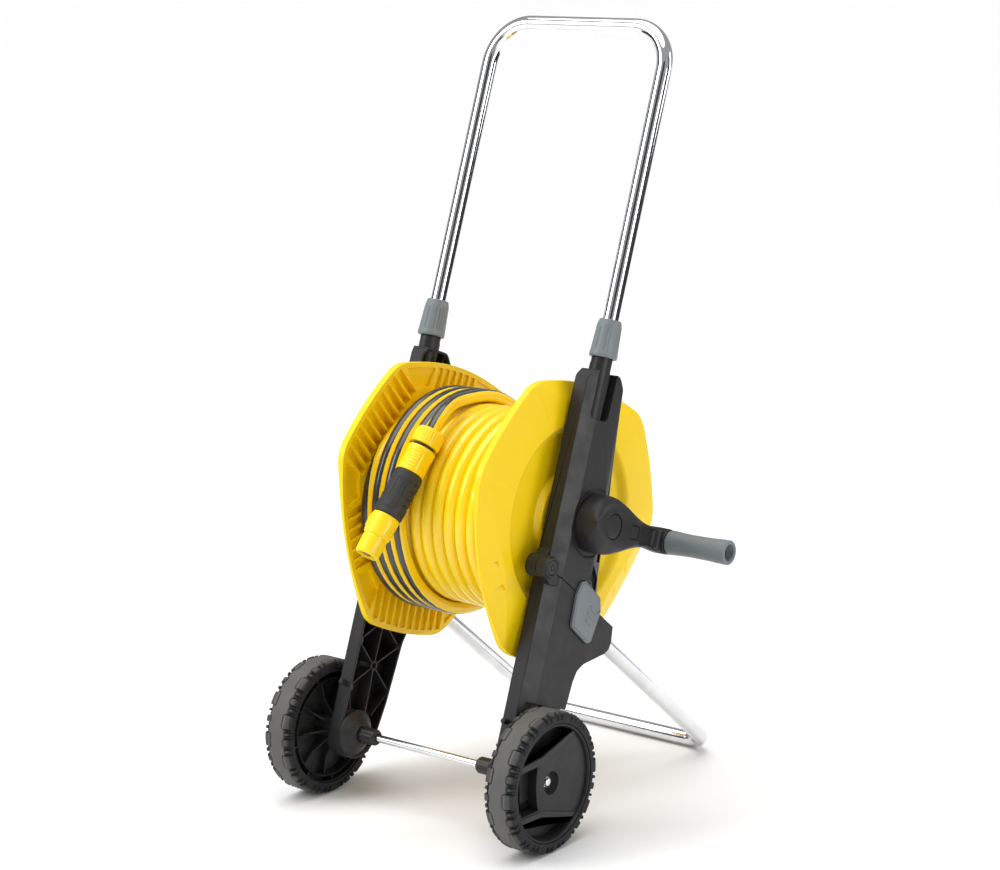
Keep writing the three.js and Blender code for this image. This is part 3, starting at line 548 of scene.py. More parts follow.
def hose_path():
    """Centreline points about the reel's axis, and how far the stripe faces outward at each."""
    points, outward = [], []
    angle = START_ANGLE
    for turns, from_x, to_x, from_r, to_r, from_out, to_out in hose_stations():
        steps = max(round(turns * POINTS_PER_TURN), 4)
        for i in range(steps):
            t = i / steps
            eased = t * t * (3 - 2 * t)
            radius = from_r + (to_r - from_r) * eased
            turn = math.radians(angle + 360 * turns * t)
            points.append(Vector((
                from_x + (to_x - from_x) * t, radius * math.cos(turn), radius * math.sin(turn))))
            outward.append(from_out + (to_out - from_out) * eased)
        angle += 360 * turns
    turn = math.radians(LIFT_ANGLE)
    lift = Vector((TAIL_X, TAIL_RADIUS * math.cos(turn), TAIL_RADIUS * math.sin(turn)))
    rolling = Vector((0, -math.sin(turn), math.cos(turn)))
    end = STRING_FROM + STRING_LINE * TAIL_INTO_NUT
    reach = (lift - end).length * 0.4
    arriving = STRING_FROM - STRING_LINE * reach * 0.9
    tail = [lift, *bezier(lift, lift + rolling * reach, arriving, STRING_FROM, 14), end]
    return points + tail, outward + [1] * len(tail)


def make_hose(sides=20):
    points, outward = hose_path()
    path = np.array([tuple(p) for p in points])
    ahead = np.gradient(path, axis=0)
    ahead /= np.linalg.norm(ahead, axis=1)[:, None]
    away = path * [0, 1, 1]
    away -= ahead * np.sum(away * ahead, axis=1)[:, None]
    away /= np.linalg.norm(away, axis=1)[:, None]
    beside = np.cross(ahead, away)
    turn = np.linspace(-math.pi, math.pi, sides + 1)[None, :] + (
        math.pi * (1 - np.array(outward)))[:, None]
    ring = (
        np.cos(turn)[..., None] * away[:, None, :] + np.sin(turn)[..., None] * beside[:, None, :])
    radius = HOSE_DIAMETER / 2
    vertices = (path[:, None, :] + radius * ring)[:, :sides].reshape(-1, 3)
    along = np.r_[0, np.cumsum(np.linalg.norm(np.diff(path, axis=0), axis=1))] * MM
    uvs = []
    for low, high in zip(along, along[1:]):
        for j in range(sides):
            left, right = j / sides, (j + 1) / sides
            uvs += [(left, low), (right, low), (right, high), (left, high)]
    last = (len(path) - 1) * sides
    faces = between(len(path), sides)
    faces += [tuple(range(sides - 1, -1, -1)), tuple(range(last, last + sides))]
    uvs += [(0.1, 0)] * (2 * sides)
    mesh = bpy.data.meshes.new("garden_hose")
    place = np.array(AT_REEL)
    placed = (np.c_[vertices, np.ones(len(vertices))] @ place.T)[:, :3]
    mesh.from_pydata(placed.tolist(), [], faces)
    layer = mesh.uv_layers.new(name="lay")
    layer.data.foreach_set("uv", np.array(uvs, np.float32).ravel())
    mesh.shade_smooth()
    obj = dress(linked("garden_hose", mesh), HOSE, "hose_winding", "hose_tail")
    return obj, [tuple(AT_REEL @ p) for p in points]


# ---------- nut, connector and nozzle, drawn along the string from the hose's end ----------


def ridged(count, depth, low, high, sharp=1.0):
    """A wave for turned(): count grooves round the piece between two distances."""
    def wave(angle, z, r):
        groove = (0.5 + 0.5 * np.cos(count * angle)) ** sharp
        inside = np.clip((z - low) / 1.5, 0, 1) * np.clip((high - z) / 1.5, 0, 1)
        return -depth * groove * inside
    return wave


def outer_only(limit, wave):
    """The wave, but only where the radius is over a limit, so that a bore stays smooth."""
    return lambda angle, z, r: np.where(r > limit, wave(angle, z, r), 0)


def patch(angle, z, facing, half_angle, low, high, soft_angle=0.08, soft=1.2):
    """1 inside a rounded rectangle on the surface and 0 outside it."""
    off = np.abs((angle - facing + math.pi) % (2 * math.pi) - math.pi)
    round_way = np.clip((half_angle - off) / soft_angle, 0, 1)
    lengthways = np.clip((z - low) / soft, 0, 1) * np.clip((high - z) / soft, 0, 1)
    t = round_way * lengthways
    return t * t * (3 - 2 * t)


def embossed(*rows):
    """A wave for turned(): each row is a height and the patch() that it fills."""
    def wave(angle, z, r):
        return sum(height * patch(angle, z, *where) for height, *where in rows)
    return wave


# The way round the string that faces forward to the right, where its thumb pads are.
PAD = math.radians(232)
PADS = (PAD, PAD + math.pi)


def nut_cap():
    return turned("hose_nut_cap", [
        (0, 8.3, 0.3), (0, 14.2, 1.5), (2.5, 16.6, 1.5), (5, 17.3, 1), (19, 17.4, 1),
        (20.0, 16.6, .5), (20, 9.4, .2), (12, 8.3, .2),
    ], AT_STRING, 240, outer_only(12, ridged(30, 0.75, 3, 18, 2)))


def connector_core():
    return turned("connector_core", [
        (12.5, 5.6), (12.5, 8), (20.4, 9), (20.4, 13), (26.5, 13), (26.5, 11), (55, 11), (55, 5.6),
    ], AT_STRING, 96, outer_only(12, ridged(36, 0.3, 20, 27)))


def release_sleeve():
    """A waisted shell with five bars in a shallow dip on either side."""
    rows = []
    for facing in PADS:
        rows.append((-0.9, facing, 0.62, 31, 52))
        for i in range(5):
            low = 33.4 + 3.6 * i
            rows.append((0.75, facing, 0.46, low, low + 2.2, 0.1, 0.7))
    return turned("release_sleeve_shell", [
        (24, 13.4, .2), (24, 16.4, 1), (26, 16.8, 1), (30, 16.5, 1), (31, 16.4), (33, 16.3),
        (35, 16.2), (36.5, 16.1), (38, 16.0), (40, 16.0), (41.5, 16.0), (43, 16.0), (45, 16.1),
        (47, 16.1), (49, 16.2), (51, 16.2), (53, 16.3), (55.7, 16.2, .6), (55.7, 11.4, .2),
        (30, 11.4, .2), (30, 13.4, .2),
    ], AT_STRING, 192, outer_only(15, embossed(*rows)))


def nozzle_core():
    return turned("nozzle_core", [
        (46, 3.6), (46, 5.3), (56.2, 5.3), (56.2, 14), (111, 14), (111, 10), (140, 10), (140, 3.6),
    ], AT_STRING, 64)


def nozzle_grip():
    """A waisted rubber sleeve: pads before and behind, four finger grooves on either side."""
    rows = []
    for facing in PADS:
        rows.append((1.1, facing, 0.55, 61, 105, 0.10, 3.5))
        rows.append((-0.7, facing + 0.08, 0.20, 67, 97, 0.04, 1.0))
    for facing in (PAD + math.pi / 2, PAD - math.pi / 2):
        rows.append((0.5, facing, 0.78, 62, 104, 0.12, 2.0))
        for i in range(4):
            low = 65.6 + 9 * i
            rows.append((-1.5, facing, 0.66, low, low + 3.4, 0.2, 1.2))
    shape = [(56.5, 14.3, .2), (56.5, 16.2, 1.2), (58.5, 17.0, 1)]
    shape += [(60 + i, 17.2 - 0.7 * math.sin(math.pi * i / 48)) for i in range(49)]
    shape += [(109.6, 17.0, .8), (110.8, 16.0, .6), (110.8, 14.3, .2)]
    return turned("nozzle_grip_sleeve", shape, AT_STRING, 192, outer_only(15.2, embossed(*rows)))


def nozzle_tip():
    """The twisting tip, with three ribbed pads and a flared mouth."""
    rows = []
    for facing in (PAD, PAD + 2.09, PAD - 2.09):
        rows.append((0.6, facing, 0.50, 114, 134.5, 0.1, 1.5))
        for i in (-1, 0, 1):
            rows.append((0.8, facing + 0.22 * i, 0.065, 117, 131, 0.04, 1.0))
    shape = [(111.4, 10.4, .2), (111.4, 15.6, .8), (113, 16.2, .5)]
    shape += [(114 + i, 16.2 - 0.022 * i) for i in range(22)]
    shape += [
        (136.6, 15.4, .8), (137.6, 13.9, .6), (139.4, 13.9, .4), (140.4, 14.4, .6),
        (158.4, 13.9, .8), (161, 12.6, .8), (161, 11.2, .5), (155.5, 10.6, .4), (155.5, 7.4, .3),
        (144, 7, .2), (141, 7, .2), (141, 10.4, .2),
    ]
    return turned("nozzle_tip_shell", shape, AT_STRING, 192, outer_only(15, embossed(*rows)))


def nozzle_needle():
    return turned("nozzle_needle_core", [
        (120, 0), (120, 2.8), (147, 2.8), (149, 5.6), (158.6, 5.6), (160, 4.2), (160, 0),
    ], AT_STRING, 48)


def string_pieces():
    return [
        dress(nut_cap(), NOZZLE_YELLOW, "hose_nut"),
        dress(connector_core(), SMOOTH_BLACK, "connector_body"),
        dress(release_sleeve(), NOZZLE_YELLOW, "connector_sleeve"),
        dress(nozzle_core(), SMOOTH_BLACK, "nozzle_body"),
        dress(nozzle_grip(), GRIP_RUBBER, "nozzle_grip"),
        dress(nozzle_tip(), NOZZLE_YELLOW, "nozzle_tip"),
        dress(nozzle_needle(), SMOOTH_BLACK, "nozzle_needle"),
    ]


hose, hose_centre = make_hose()
string_pieces()

# ---------- handle and stand tubes ----------


def hairpin(start, bar_z, bend, steps=18):
    """A U in its own plane: x is the width, z runs from the open ends to the bar."""
    side = [(-TUBE_X, start + (bar_z - bend - start) * i / 8) for i in range(9)]
    left = arc((-TUBE_X + bend, bar_z - bend), bend, 180, 90, steps)
    right = arc((TUBE_X - bend, bar_z - bend), bend, 90, 0, steps)
    across = [(-TUBE_X + bend + 2 * (TUBE_X - bend) * i / 6, bar_z) for i in range(1, 6)]
    back = [(TUBE_X, z) for _, z in reversed(side)]
    outline = side + left[1:] + across + right[:-1] + back
    return [(x, 0, z) for x, z in outline]


HANDLE_TOP = 860
HANDLE_BEND = 50
TUBE_END = 425
STAND_SOCKET = (62, 180.8)
STAND_WAY = (0.946, -0.325)
STAND_BEND = 30

handle = swept("handle_bar", hairpin(TUBE_END, HANDLE_TOP, HANDLE_BEND), TUBE_RADIUS, AT_LEGS)
dress(shade(handle, 60), CHROME, "handle_tube")

socket = AT_LEGS @ Vector((0, *STAND_SOCKET))
stand_turn = math.atan2(*STAND_WAY) + LEAN
stand_length = (socket.z / MM - TUBE_RADIUS) / -math.cos(stand_turn)
stand_frame = frame_at(socket, -stand_turn)
stand = swept("stand_bar", hairpin(0.5, stand_length, STAND_BEND), TUBE_RADIUS, stand_frame)
dress(shade(stand, 60), STEEL, "stand_tube")

# ---------- wheels ----------

LUGS = 10
RIM_RADIUS = 67
WHEEL_INNER_X = 143.5
WHEEL_OUTER_X = 182
TYRE_STEPS = 1200
TYRE_SHOULDER = 7.0
WALL_TOP = 73
CROWN_EDGE = 79.2
PAD_RISE = 0.9
VALLEY_DEPTH = 2.0
GROOVE_DEPTH = 1.3
PAD_CORNER = 2.2
# Each repeat: a large pad, a nub, a small pad and a nub, as (place, half length, reach inward).
TREAD = ((0.0, 8.0, 10.5), (0.285, 1.5, 6.6), (0.5, 3.9, 8.0), (0.715, 1.5, 6.6))


def tyre(name, place):
    """Smooth crown; pads and nubs stand up on both shoulders, each with a thin groove round it."""
    half = (WHEEL_OUTER_X - WHEEL_INNER_X) / 2
    centre_x = (WHEEL_OUTER_X + WHEEL_INNER_X) / 2
    shoulder_from = half - TYRE_SHOULDER
    side = [(-half + 0.5, RIM_RADIUS + 0.3), (-half + 0.1, 68.5), (-half, 69.5)]
    side += [(-half, r) for r in np.linspace(70.2, WALL_TOP, 5)]
    bend = [
        (-half + TYRE_SHOULDER * (1 - math.cos(t)),
         WALL_TOP + (CROWN_EDGE - WALL_TOP) * math.sin(t))
        for t in np.linspace(0, math.pi / 2, 16)[1:]
    ]
    crown = [
        (x, WHEEL_RADIUS - (WHEEL_RADIUS - CROWN_EDGE) * (abs(x) / shoulder_from) ** 2.4)
        for x in np.linspace(-shoulder_from, shoulder_from, 44)[1:]
    ]
    loop = np.array(side + bend + crown + [(-x, r) for x, r in reversed(side + bend[:-1])])
    angles = np.linspace(0, 2 * math.pi, TYRE_STEPS, endpoint=False)
    x = np.repeat(loop[None, :, 0], TYRE_STEPS, 0)
    r = np.repeat(loop[None, :, 1], TYRE_STEPS, 0)
    phase = (angles * LUGS / (2 * math.pi))[:, None]
    span = 2 * math.pi * WHEEL_RADIUS / LUGS
    raised, groove = np.zeros_like(x), np.zeros_like(x)
    for way, shift in ((1, 0.0), (-1, 0.5)):
        for where, size, reach in TREAD:
            off = np.abs((phase + shift - where + 0.5) % 1 - 0.5) * span
            in_from = half - reach
            dx = np.maximum(in_from + PAD_CORNER - way * x, 0)
            dy = np.maximum(off - (size - PAD_CORNER), 0) if size > PAD_CORNER else off
            outside = np.hypot(dx, dy) - min(PAD_CORNER, size)
            raised = np.maximum(raised, np.clip(0.5 - outside / 0.8, 0, 1))
            ring = np.exp(-((outside - 0.9) / 0.55) ** 2) * (way * x > in_from - 2.5)
            groove = np.maximum(groove, ring)
    shoulder = np.clip((np.abs(x) - (half - 8.2)) / 1.6, 0, 1)
    tread = np.clip((r - 70.5) / 3.0, 0, 1)
    valley = VALLEY_DEPTH * shoulder * (1 - raised)
    lift = (PAD_RISE * raised - valley - GROOVE_DEPTH * groove) * tread
    swell = np.clip((np.abs(x) - shoulder_from) / 4, 0, 1) * PAD_RISE * (raised - 1) * tread
    # Painted light: the crown and pad tops are marked for a lighter colour, partly as tread wear and
    # partly as light falling on them.
    worn = np.clip((r - 77.6) / 1.2, 0, 1) * (1 - shoulder) * (1 - 0.85 * groove)
    worn = np.maximum(worn, 0.55 * raised * np.clip((r - 76.5) / 1.5, 0, 1))
    r = np.minimum(r + lift, WHEEL_RADIUS)
    x = x + np.sign(x) * swell
    y, z = r * np.cos(angles)[:, None], r * np.sin(angles)[:, None]
    vertices = np.stack([x + centre_x, y, z], -1).reshape(-1, 3)
    obj = piece(name, vertices, between(TYRE_STEPS, len(loop), closed=True), place)
    layer = obj.data.attributes.new("worn", "FLOAT", "POINT")
    layer.data.foreach_set("value", worn.astype(np.float32).ravel())
    return shade(obj, 55)


NOTCH_FROM = 52.5
NOTCH_POINT = 118
NOTCH_TO = 149
HUB_FACE_X = 177
HUB_WEB_X = 165
STRIP_INTO_PLATE = 6.89
POCKET_HALF = 25


def fin(name, half, outline, place):
    """A thin rib of four (x, radius) points, half thick to either side."""
    return hexahedron(name, [(x, y, r) for y in (-half, half) for x, r in outline], place)


def hub_plate(place):
    """The raised front, cut back by two notches that each have a raised edge."""
    point = polar(38.5, NOTCH_POINT)
    pieces = [prism("hub_plate", rounded([
        *arc((0, 0), 63.2, -NOTCH_FROM, NOTCH_FROM, 30),
        (*point, 3),
        *arc((0, 0), 63.2, NOTCH_TO, 360 - NOTCH_TO, 20),
        (point[0], -point[1], 3),
    ], 0), HUB_WEB_X - 1, HUB_FACE_X, place)]
    for sign in (1, -1):
        pieces.append(prism("hub_strip", [
            polar(63, sign * NOTCH_FROM),
            (point[0], sign * point[1]),
            polar(63, sign * NOTCH_TO),
            polar(63.4, sign * (NOTCH_TO + 6)),
            (point[0] + 1.0, sign * (point[1] - STRIP_INTO_PLATE)),
            polar(63.4, sign * (NOTCH_FROM - 6)),
        ], HUB_WEB_X - 1, HUB_FACE_X + 1.4, place))
    return pieces


def hub_ribs(place):
    """Nine ribs on the hub's inner side, and nine ties between its rim and the tyre's seat."""
    pieces = []
    for i in range(9):
        turn = place @ turned_about_x(10 + 40 * i)
        pieces += [
            fin("hub_rib", 0.9, [(151.5, 57.6), (161, 57.6), (161, 34), (151, 34)], turn),
            fin("hub_rib", 0.9, [(150, 35), (161, 35), (161, 13), (140, 13)], turn),
            fin("rim_tie", 0.7, [(147.5, 66), (158, 66), (158, 59), (147.5, 59)],
                turn @ turned_about_x(9)),
        ]
    return pieces


def hub(name, place):
    body = turned("hub_body", [
        (134, 4.8), (134, 12.4), (135, 13.4), (158, 15), (160, 57), (152, 57.5), (146.5, 58),
        (146.5, 59.6), (157, 60), (157, 65.4), (146.5, 65.6), (145.5, RIM_RADIUS),
        (180, RIM_RADIUS), (181, 66.4), (181, 64.6), (179.2, 63.6), (HUB_WEB_X, 61.5),
        (HUB_WEB_X, 4.8),
    ], place @ ABOUT_X, 180, fillet=0.4, steps=2)
    join(body, *hub_plate(place), *hub_ribs(place))
    soften(body, 0.5)
    pocket_wall = [
        (-24 - 3.2 * (1 - (v / POCKET_HALF) ** 2), v)
        for v in np.linspace(POCKET_HALF, -POCKET_HALF, 9)
    ]
    reach = 180 - math.degrees(math.asin(POCKET_HALF / 59.5))
    pocket = [*reversed(pocket_wall), *arc((0, 0), 59.5, reach, 360 - reach, 14)]
    well = [(168, 0), (168, 13), (190, 13.4), (190, 0)]
    cut(
        body,
        prism("pocket", pocket, HUB_WEB_X + 0.2, HUB_FACE_X + 3, place),
        prism("deep_pocket", [(-23.5, -25), (-26.5, -14), (-56, -14), (-52, -25)],
              161.6, HUB_WEB_X + 0.4, place),
        turned("well", well, place @ ABOUT_X, 64, fillet=0),
        cylinder("bore", 4.8, 130, 190, place @ ABOUT_X, 32))
    body.name = name
    return even_normals(body, 35)


LOCK_X = 168.3
AXLE_END_X = 173


def lock_teeth(angle, z, r):
    return np.where(r < 6, 0.9 * (0.5 + 0.5 * np.cos(6 * angle)) ** 3, 0)


def star_lock(name, place):
    """The sprung washer on the axle's end, with teeth bent up round the rod."""
    ring = turned(name, [
        (0, 4.7), (0, 9.2), (0.7, 9.2), (1.9, 5.4), (1.7, 4.7),
    ], place @ shifted(LOCK_X) @ ABOUT_X, 72, lock_teeth, fillet=0.15, steps=2)
    return shade(ring)


for side, mirror in SIDES.items():
    place = AT_WHEELS @ mirror
    dress(tyre(f"tyre_tread_{side}", place), TYRE, f"tyre_{side}")
    dress(hub(f"hub_{side}", place), BLACK, f"wheel_hub_{side}")
    dress(star_lock(f"star_lock_{side}", place), STEEL, f"axle_lock_{side}")
    place = AT_LEGS @ mirror
    sleeve = turned(f"axle_spacer_{side}", [
        (76, 4.9, .3), (76, 8.2, .8), (78.5, 9.7, 1), (97.2, 10, .3), (97.2, 4.9, .3),
    ], place @ ABOUT_X, 120, outer_only(8.8, ridged(10, 0.9, 78, 99, 1)))
    dress(shade(sleeve), SMOOTH_BLACK, f"axle_sleeve_{side}")
    dish = turned(f"axle_dish_cup_{side}", [
        (97.5, 4.9, .2), (97.5, 13, .8), (99, 15, 1), (103, 19, 2), (107.5, 25, 1),
        (109, 26.8, .8), (111.7, 26.8, .3), (111.7, 4.9, .2),
    ], place @ ABOUT_X, 144)
    dress(shade(dish), BLACK, f"axle_dish_{side}")

rod = turned("axle_bar", [
    (-AXLE_END_X, 0), (-AXLE_END_X, 4.5, .8), (AXLE_END_X, 4.5, .8), (AXLE_END_X, 0),
], AT_LEGS @ ABOUT_X, 40)
dress(shade(rod), STEEL, "axle_rod")


# ---------- reel: flanges, hubs and drum ----------

CORNER_RADIUS = 174
FLANGE_SIDES = ((33, 75), (108, 45), (153, 75), (228, 45), (273, 75), (348, 45))
SIDE_BULGE = 0.45
FLANGE_X = 95
FACE_X = 109
RIM_X = 104
RECESS = 112
HUB_HOLE = 26.4
LONG_SIDE = 60  # degrees; the flange's sides are alternately shorter and longer than this
RIM_ROUND = 1.4
INNER_ROUND = 0.8
CORNER_SPREAD = (-4.5, -3, -1.5, 0, 1.5, 3, 4.5)


def flange_side(angle):
    """The side that an angle in degrees falls on: its width, and the angle from its middle."""
    start, width = next(side for side in FLANGE_SIDES if (angle - side[0]) % 360 < side[1])
    return width, (angle - start) % 360 - width / 2


def sharp_edge(angle):
    width, off = flange_side(angle)
    flat = CORNER_RADIUS * math.cos(math.radians(width / 2)) / math.cos(math.radians(off))
    return flat + SIDE_BULGE * (CORNER_RADIUS - flat)


def flange_edge(angle):
    """The outline's radius, its corners rounded by averaging over a few degrees."""
    return sum(sharp_edge(angle + d) for d in CORNER_SPREAD) / len(CORNER_SPREAD)


def smooth(t):
    t = min(max(t, 0.0), 1.0)
    return t * t * (3 - 2 * t)


def flange_face(angle, r):
    """Distance from the reel's middle to the outer face: hub ring, round recess, bent rim."""
    edge = flange_edge(angle)
    if r < RECESS:
        return 100 + 6.5 * (1 - smooth((r - 50) / 9)) + 9 * smooth((r - 99) / 13)
    width, off = flange_side(angle)
    if width < LONG_SIDE:
        return FACE_X - (FACE_X - RIM_X) * ((r - RECESS) / (edge - RECESS)) ** 1.15
    to_corner = abs(off) / (width / 2)
    crease = 126 + (edge - 126) * to_corner ** 1.7
    crease_x = FACE_X - (FACE_X - RIM_X) * to_corner ** 2.2
    if r <= crease:
        return FACE_X - (FACE_X - crease_x) * (r - RECESS) / (crease - RECESS)
    rim_x = RIM_X - 5.6 * (1 - to_corner ** 2)
    return crease_x - (crease_x - rim_x) * (r - crease) / max(edge - crease, 0.01)


def ramp(name, outline, turn, depth, low, high, place):
    """A pocket cut from the inner side; depth runs evenly from one distance to another."""
    def floor_x(n):
        return FLANGE_X + depth[0] + (depth[1] - depth[0]) * (n - low) / (high - low)
    return extruded(
        name, [(FLANGE_X - 2, n, t) for n, t in outline], [(floor_x(n), n, t) for n, t in outline],
        place @ turned_about_x(turn))


def flange_plate(name, place, steps=720):
    """The plate without its pockets: one ring of the section at each step round."""
    stations = [
        HUB_HOLE, 27.4, *range(30, 50, 4), *np.arange(50, 60, 1.0), 64, 80, 96,
        *np.arange(99, 112.1, 1.0),
    ]
    vertices = []
    for i in range(steps):
        angle = 360 * i / steps
        edge = flange_edge(angle)
        rim = edge - RIM_ROUND
        row = [(FLANGE_X, HUB_HOLE)]
        row += [(flange_face(angle, r) - (0.8 if r == HUB_HOLE else 0), r) for r in stations]
        for t in np.linspace(0, 1, 30)[1:-1]:
            r = RECESS + (rim - RECESS) * t
            row.append((flange_face(angle, r), r))
        corner = (flange_face(angle, rim) - RIM_ROUND, rim)
        row += arc(corner, RIM_ROUND, 0, 90, 3)
        row += arc((FLANGE_X + INNER_ROUND, edge - INNER_ROUND), INNER_ROUND, 90, 180, 3)
        turn = 2 * math.pi * i / steps
        vertices += [(x, r * math.cos(turn), r * math.sin(turn)) for x, r in row]
    return piece(name, vertices, between(steps, len(row), closed=True), place)


def fin_gaps(facing, place):
    """Ten parallel pockets along a short side; their floors fall towards the hose."""
    pockets = []
    for i in range(10):
        t = -58.5 + 13 * i
        off = math.atan2(t, 160)
        end = flange_edge(facing + math.degrees(off)) * math.cos(off) - 6.0
        pockets.append(ramp("fin_gap", [
            (115, t - 5.0), (end - 2, t - 5.2), (end, t - 3.8), (end, t + 3.8),
            (end - 2, t + 5.2), (115, t + 5.0),
        ], facing, (9.5, 2.2), 115, 160, place))
    return pockets


def long_side_gaps(facing, place):
    """Six small pockets in the middle of a long side and a three-cornered one at either end."""
    pockets = []
    for i in range(6):
        t = -31 + 12.4 * i
        end = 148.5 - 0.0016 * t * t
        pockets.append(ramp("small_gap", [
            (116, t - 4.8), (end - 1.5, t - 4.9), (end, t - 3.8), (end, t + 3.8),
            (end - 1.5, t + 4.9), (116, t + 4.8),
        ], facing, (6.5, 2.2), 116, 148, place))
    for sign in (1, -1):
        outer = [
            polar(flange_edge(facing + off) - 6.5, sign * off) for off in np.linspace(15.8, 34.2, 9)
        ]
        inner = [polar(118 + 0.6 * off, sign * off) for off in np.linspace(32.5, 20, 6)]
        pockets.append(ramp("gusset", outer + inner, facing, (6.5, 1.2), 112, 152, place))
    return pockets


def flange_dip(turn, place):
    """A small slanted dip in the outer face."""
    return hexahedron("dip", [
        (FACE_X - 5.6, 132, -5.5), (FACE_X + 2, 132, -5.5), (FACE_X + 2, 146, -5.5),
        (FACE_X - 6.6, 146, -5.5), (FACE_X - 1.0, 132, 4.5), (FACE_X + 2, 132, 4.5),
        (FACE_X + 2, 146, 4.5), (FACE_X - 2.0, 146, 4.5),
    ], place @ turned_about_x(turn))


def flange(name, place):
    body = flange_plate(name, place)
    pockets, dips = [], []
    for start, width in FLANGE_SIDES:
        facing = start + width / 2
        if width < LONG_SIDE:
            pockets += fin_gaps(facing, place)
        else:
            pockets += long_side_gaps(facing, place)
            dips += [flange_dip(facing + off, place) for off in (1.0, 13.5)]
    cut(body, *pockets)
    cut(body, *dips)
    body.name = name
    bevel(body, 0.45, 2, 48)
    step = body.modifiers.new("shading", "WEIGHTED_NORMAL")
    step.keep_sharp = True
    return settle(shade(body, 50))


REEL_HUB_X = 110.8
JOURNAL_END = {"right": 139.2, "left": 141}
WATER_BORE = 7

for side, mirror in SIDES.items():
    place = AT_REEL @ mirror
    dress(flange(f"flange_plate_{side}", place), YELLOW, f"flange_{side}")
    inside = 0 if side == "right" else WATER_BORE
    boss = turned(f"reel_hub_boss_{side}", [
        (FLANGE_X, inside), (FLANGE_X, 26, .6), (REEL_HUB_X - 2, 26, .5),
        (REEL_HUB_X - 2, 22, .4), (REEL_HUB_X, 20, .6), (REEL_HUB_X, 10, .5),
        (JOURNAL_END[side], 10, .8), (JOURNAL_END[side], inside),
    ], place @ ABOUT_X, 120)
    dress(shade(boss), YELLOW, f"reel_hub_{side}")


# ---------- crank ----------

CRANK_LENGTH = 107
ARM_TOP_X = 170
ARM_UNDER_X = 140
CRANK_HUB = 33.5
CRANK_END = 15
CAP_WELL = 14.9
WAIST_FROM = 14
WAIST_TO = 78
WAIST = 13.2
GRIP_LENGTH = 88  # from the arm's outer face
AT_ARM_FACE = AT_CRANK @ shifted(ARM_TOP_X)
AT_GRIP = AT_CRANK @ shifted(ARM_TOP_X, CRANK_LENGTH) @ ABOUT_X


def blend_between(u, start, end, a, b, slope_a, slope_b):
    """A cubic from a to b with those slopes, between two places along the arm."""
    t = (u - start) / (end - start)
    span = end - start
    return (
        (2 * t ** 3 - 3 * t ** 2 + 1) * a + (t ** 3 - 2 * t ** 2 + t) * span * slope_a
        + (-2 * t ** 3 + 3 * t ** 2) * b + (t ** 3 - t ** 2) * span * slope_b)


def arm_half_width(u):
    """Half the arm's width at a distance from its axis: round hub, waist, round end."""
    if u < WAIST_FROM:
        return math.sqrt(max(CRANK_HUB ** 2 - u * u, 0))
    if u < WAIST_TO:
        hub_width = math.sqrt(CRANK_HUB ** 2 - WAIST_FROM ** 2)
        return blend_between(
            u, WAIST_FROM, WAIST_TO, hub_width, WAIST, -WAIST_FROM / hub_width, -0.02)
    if u < CRANK_LENGTH:
        return WAIST + (CRANK_END - WAIST) * smooth((u - WAIST_TO) / (CRANK_LENGTH - WAIST_TO))
    return math.sqrt(max(CRANK_END ** 2 - (u - CRANK_LENGTH) ** 2, 0))


def arm_section(u):
    """A closed ring of (x, v): flat underneath, round-shouldered on top, scooped near its end."""
    half = arm_half_width(u)
    base = ARM_UNDER_X + 13.5 * smooth((u - 22) / 14) + 2.5 * smooth((u - 50) / 50)
    top = ARM_TOP_X - 0.2 - 1.6 * smooth((u - 44) / 30) + 3.6 * smooth((u - 84) / 10)
    shoulder = 17 - 12 * smooth((u + 6) / 36)
    shoulder_side = min(17.5 - 12.5 * smooth((u + 6) / 36), half)
    scoop = 3.4 * smooth((u - 54) / 7) * (1 - smooth((u - 86) / 5))
    flat = half - shoulder_side
    side = [(base, half * 0.97), (base + 1, half)]
    side += [(base + 1 + (top - shoulder - base - 1) * t, half) for t in (0.33, 0.66)]
    for k in range(13):
        turn = math.pi / 2 * k / 12
        side.append((
            top - shoulder + shoulder * math.sin(turn), half - shoulder_side * (1 - math.cos(turn))))
    across = [(top, -flat + 2 * flat * k / 24) for k in range(1, 24)]
    ring = [(x, -v) for x, v in side] + across + side[::-1]

    def scooped(x, v):
        inside = smooth((half - 2.2 - abs(v)) / 3.0) if x > base + 4 else 0
        return x - scoop * inside, v
    return [scooped(x, v) for x, v in ring]


def square_tab(start, end, half, corner):
    return rounded([(start, -half), (end, -half), (end, half), (start, half)], corner)


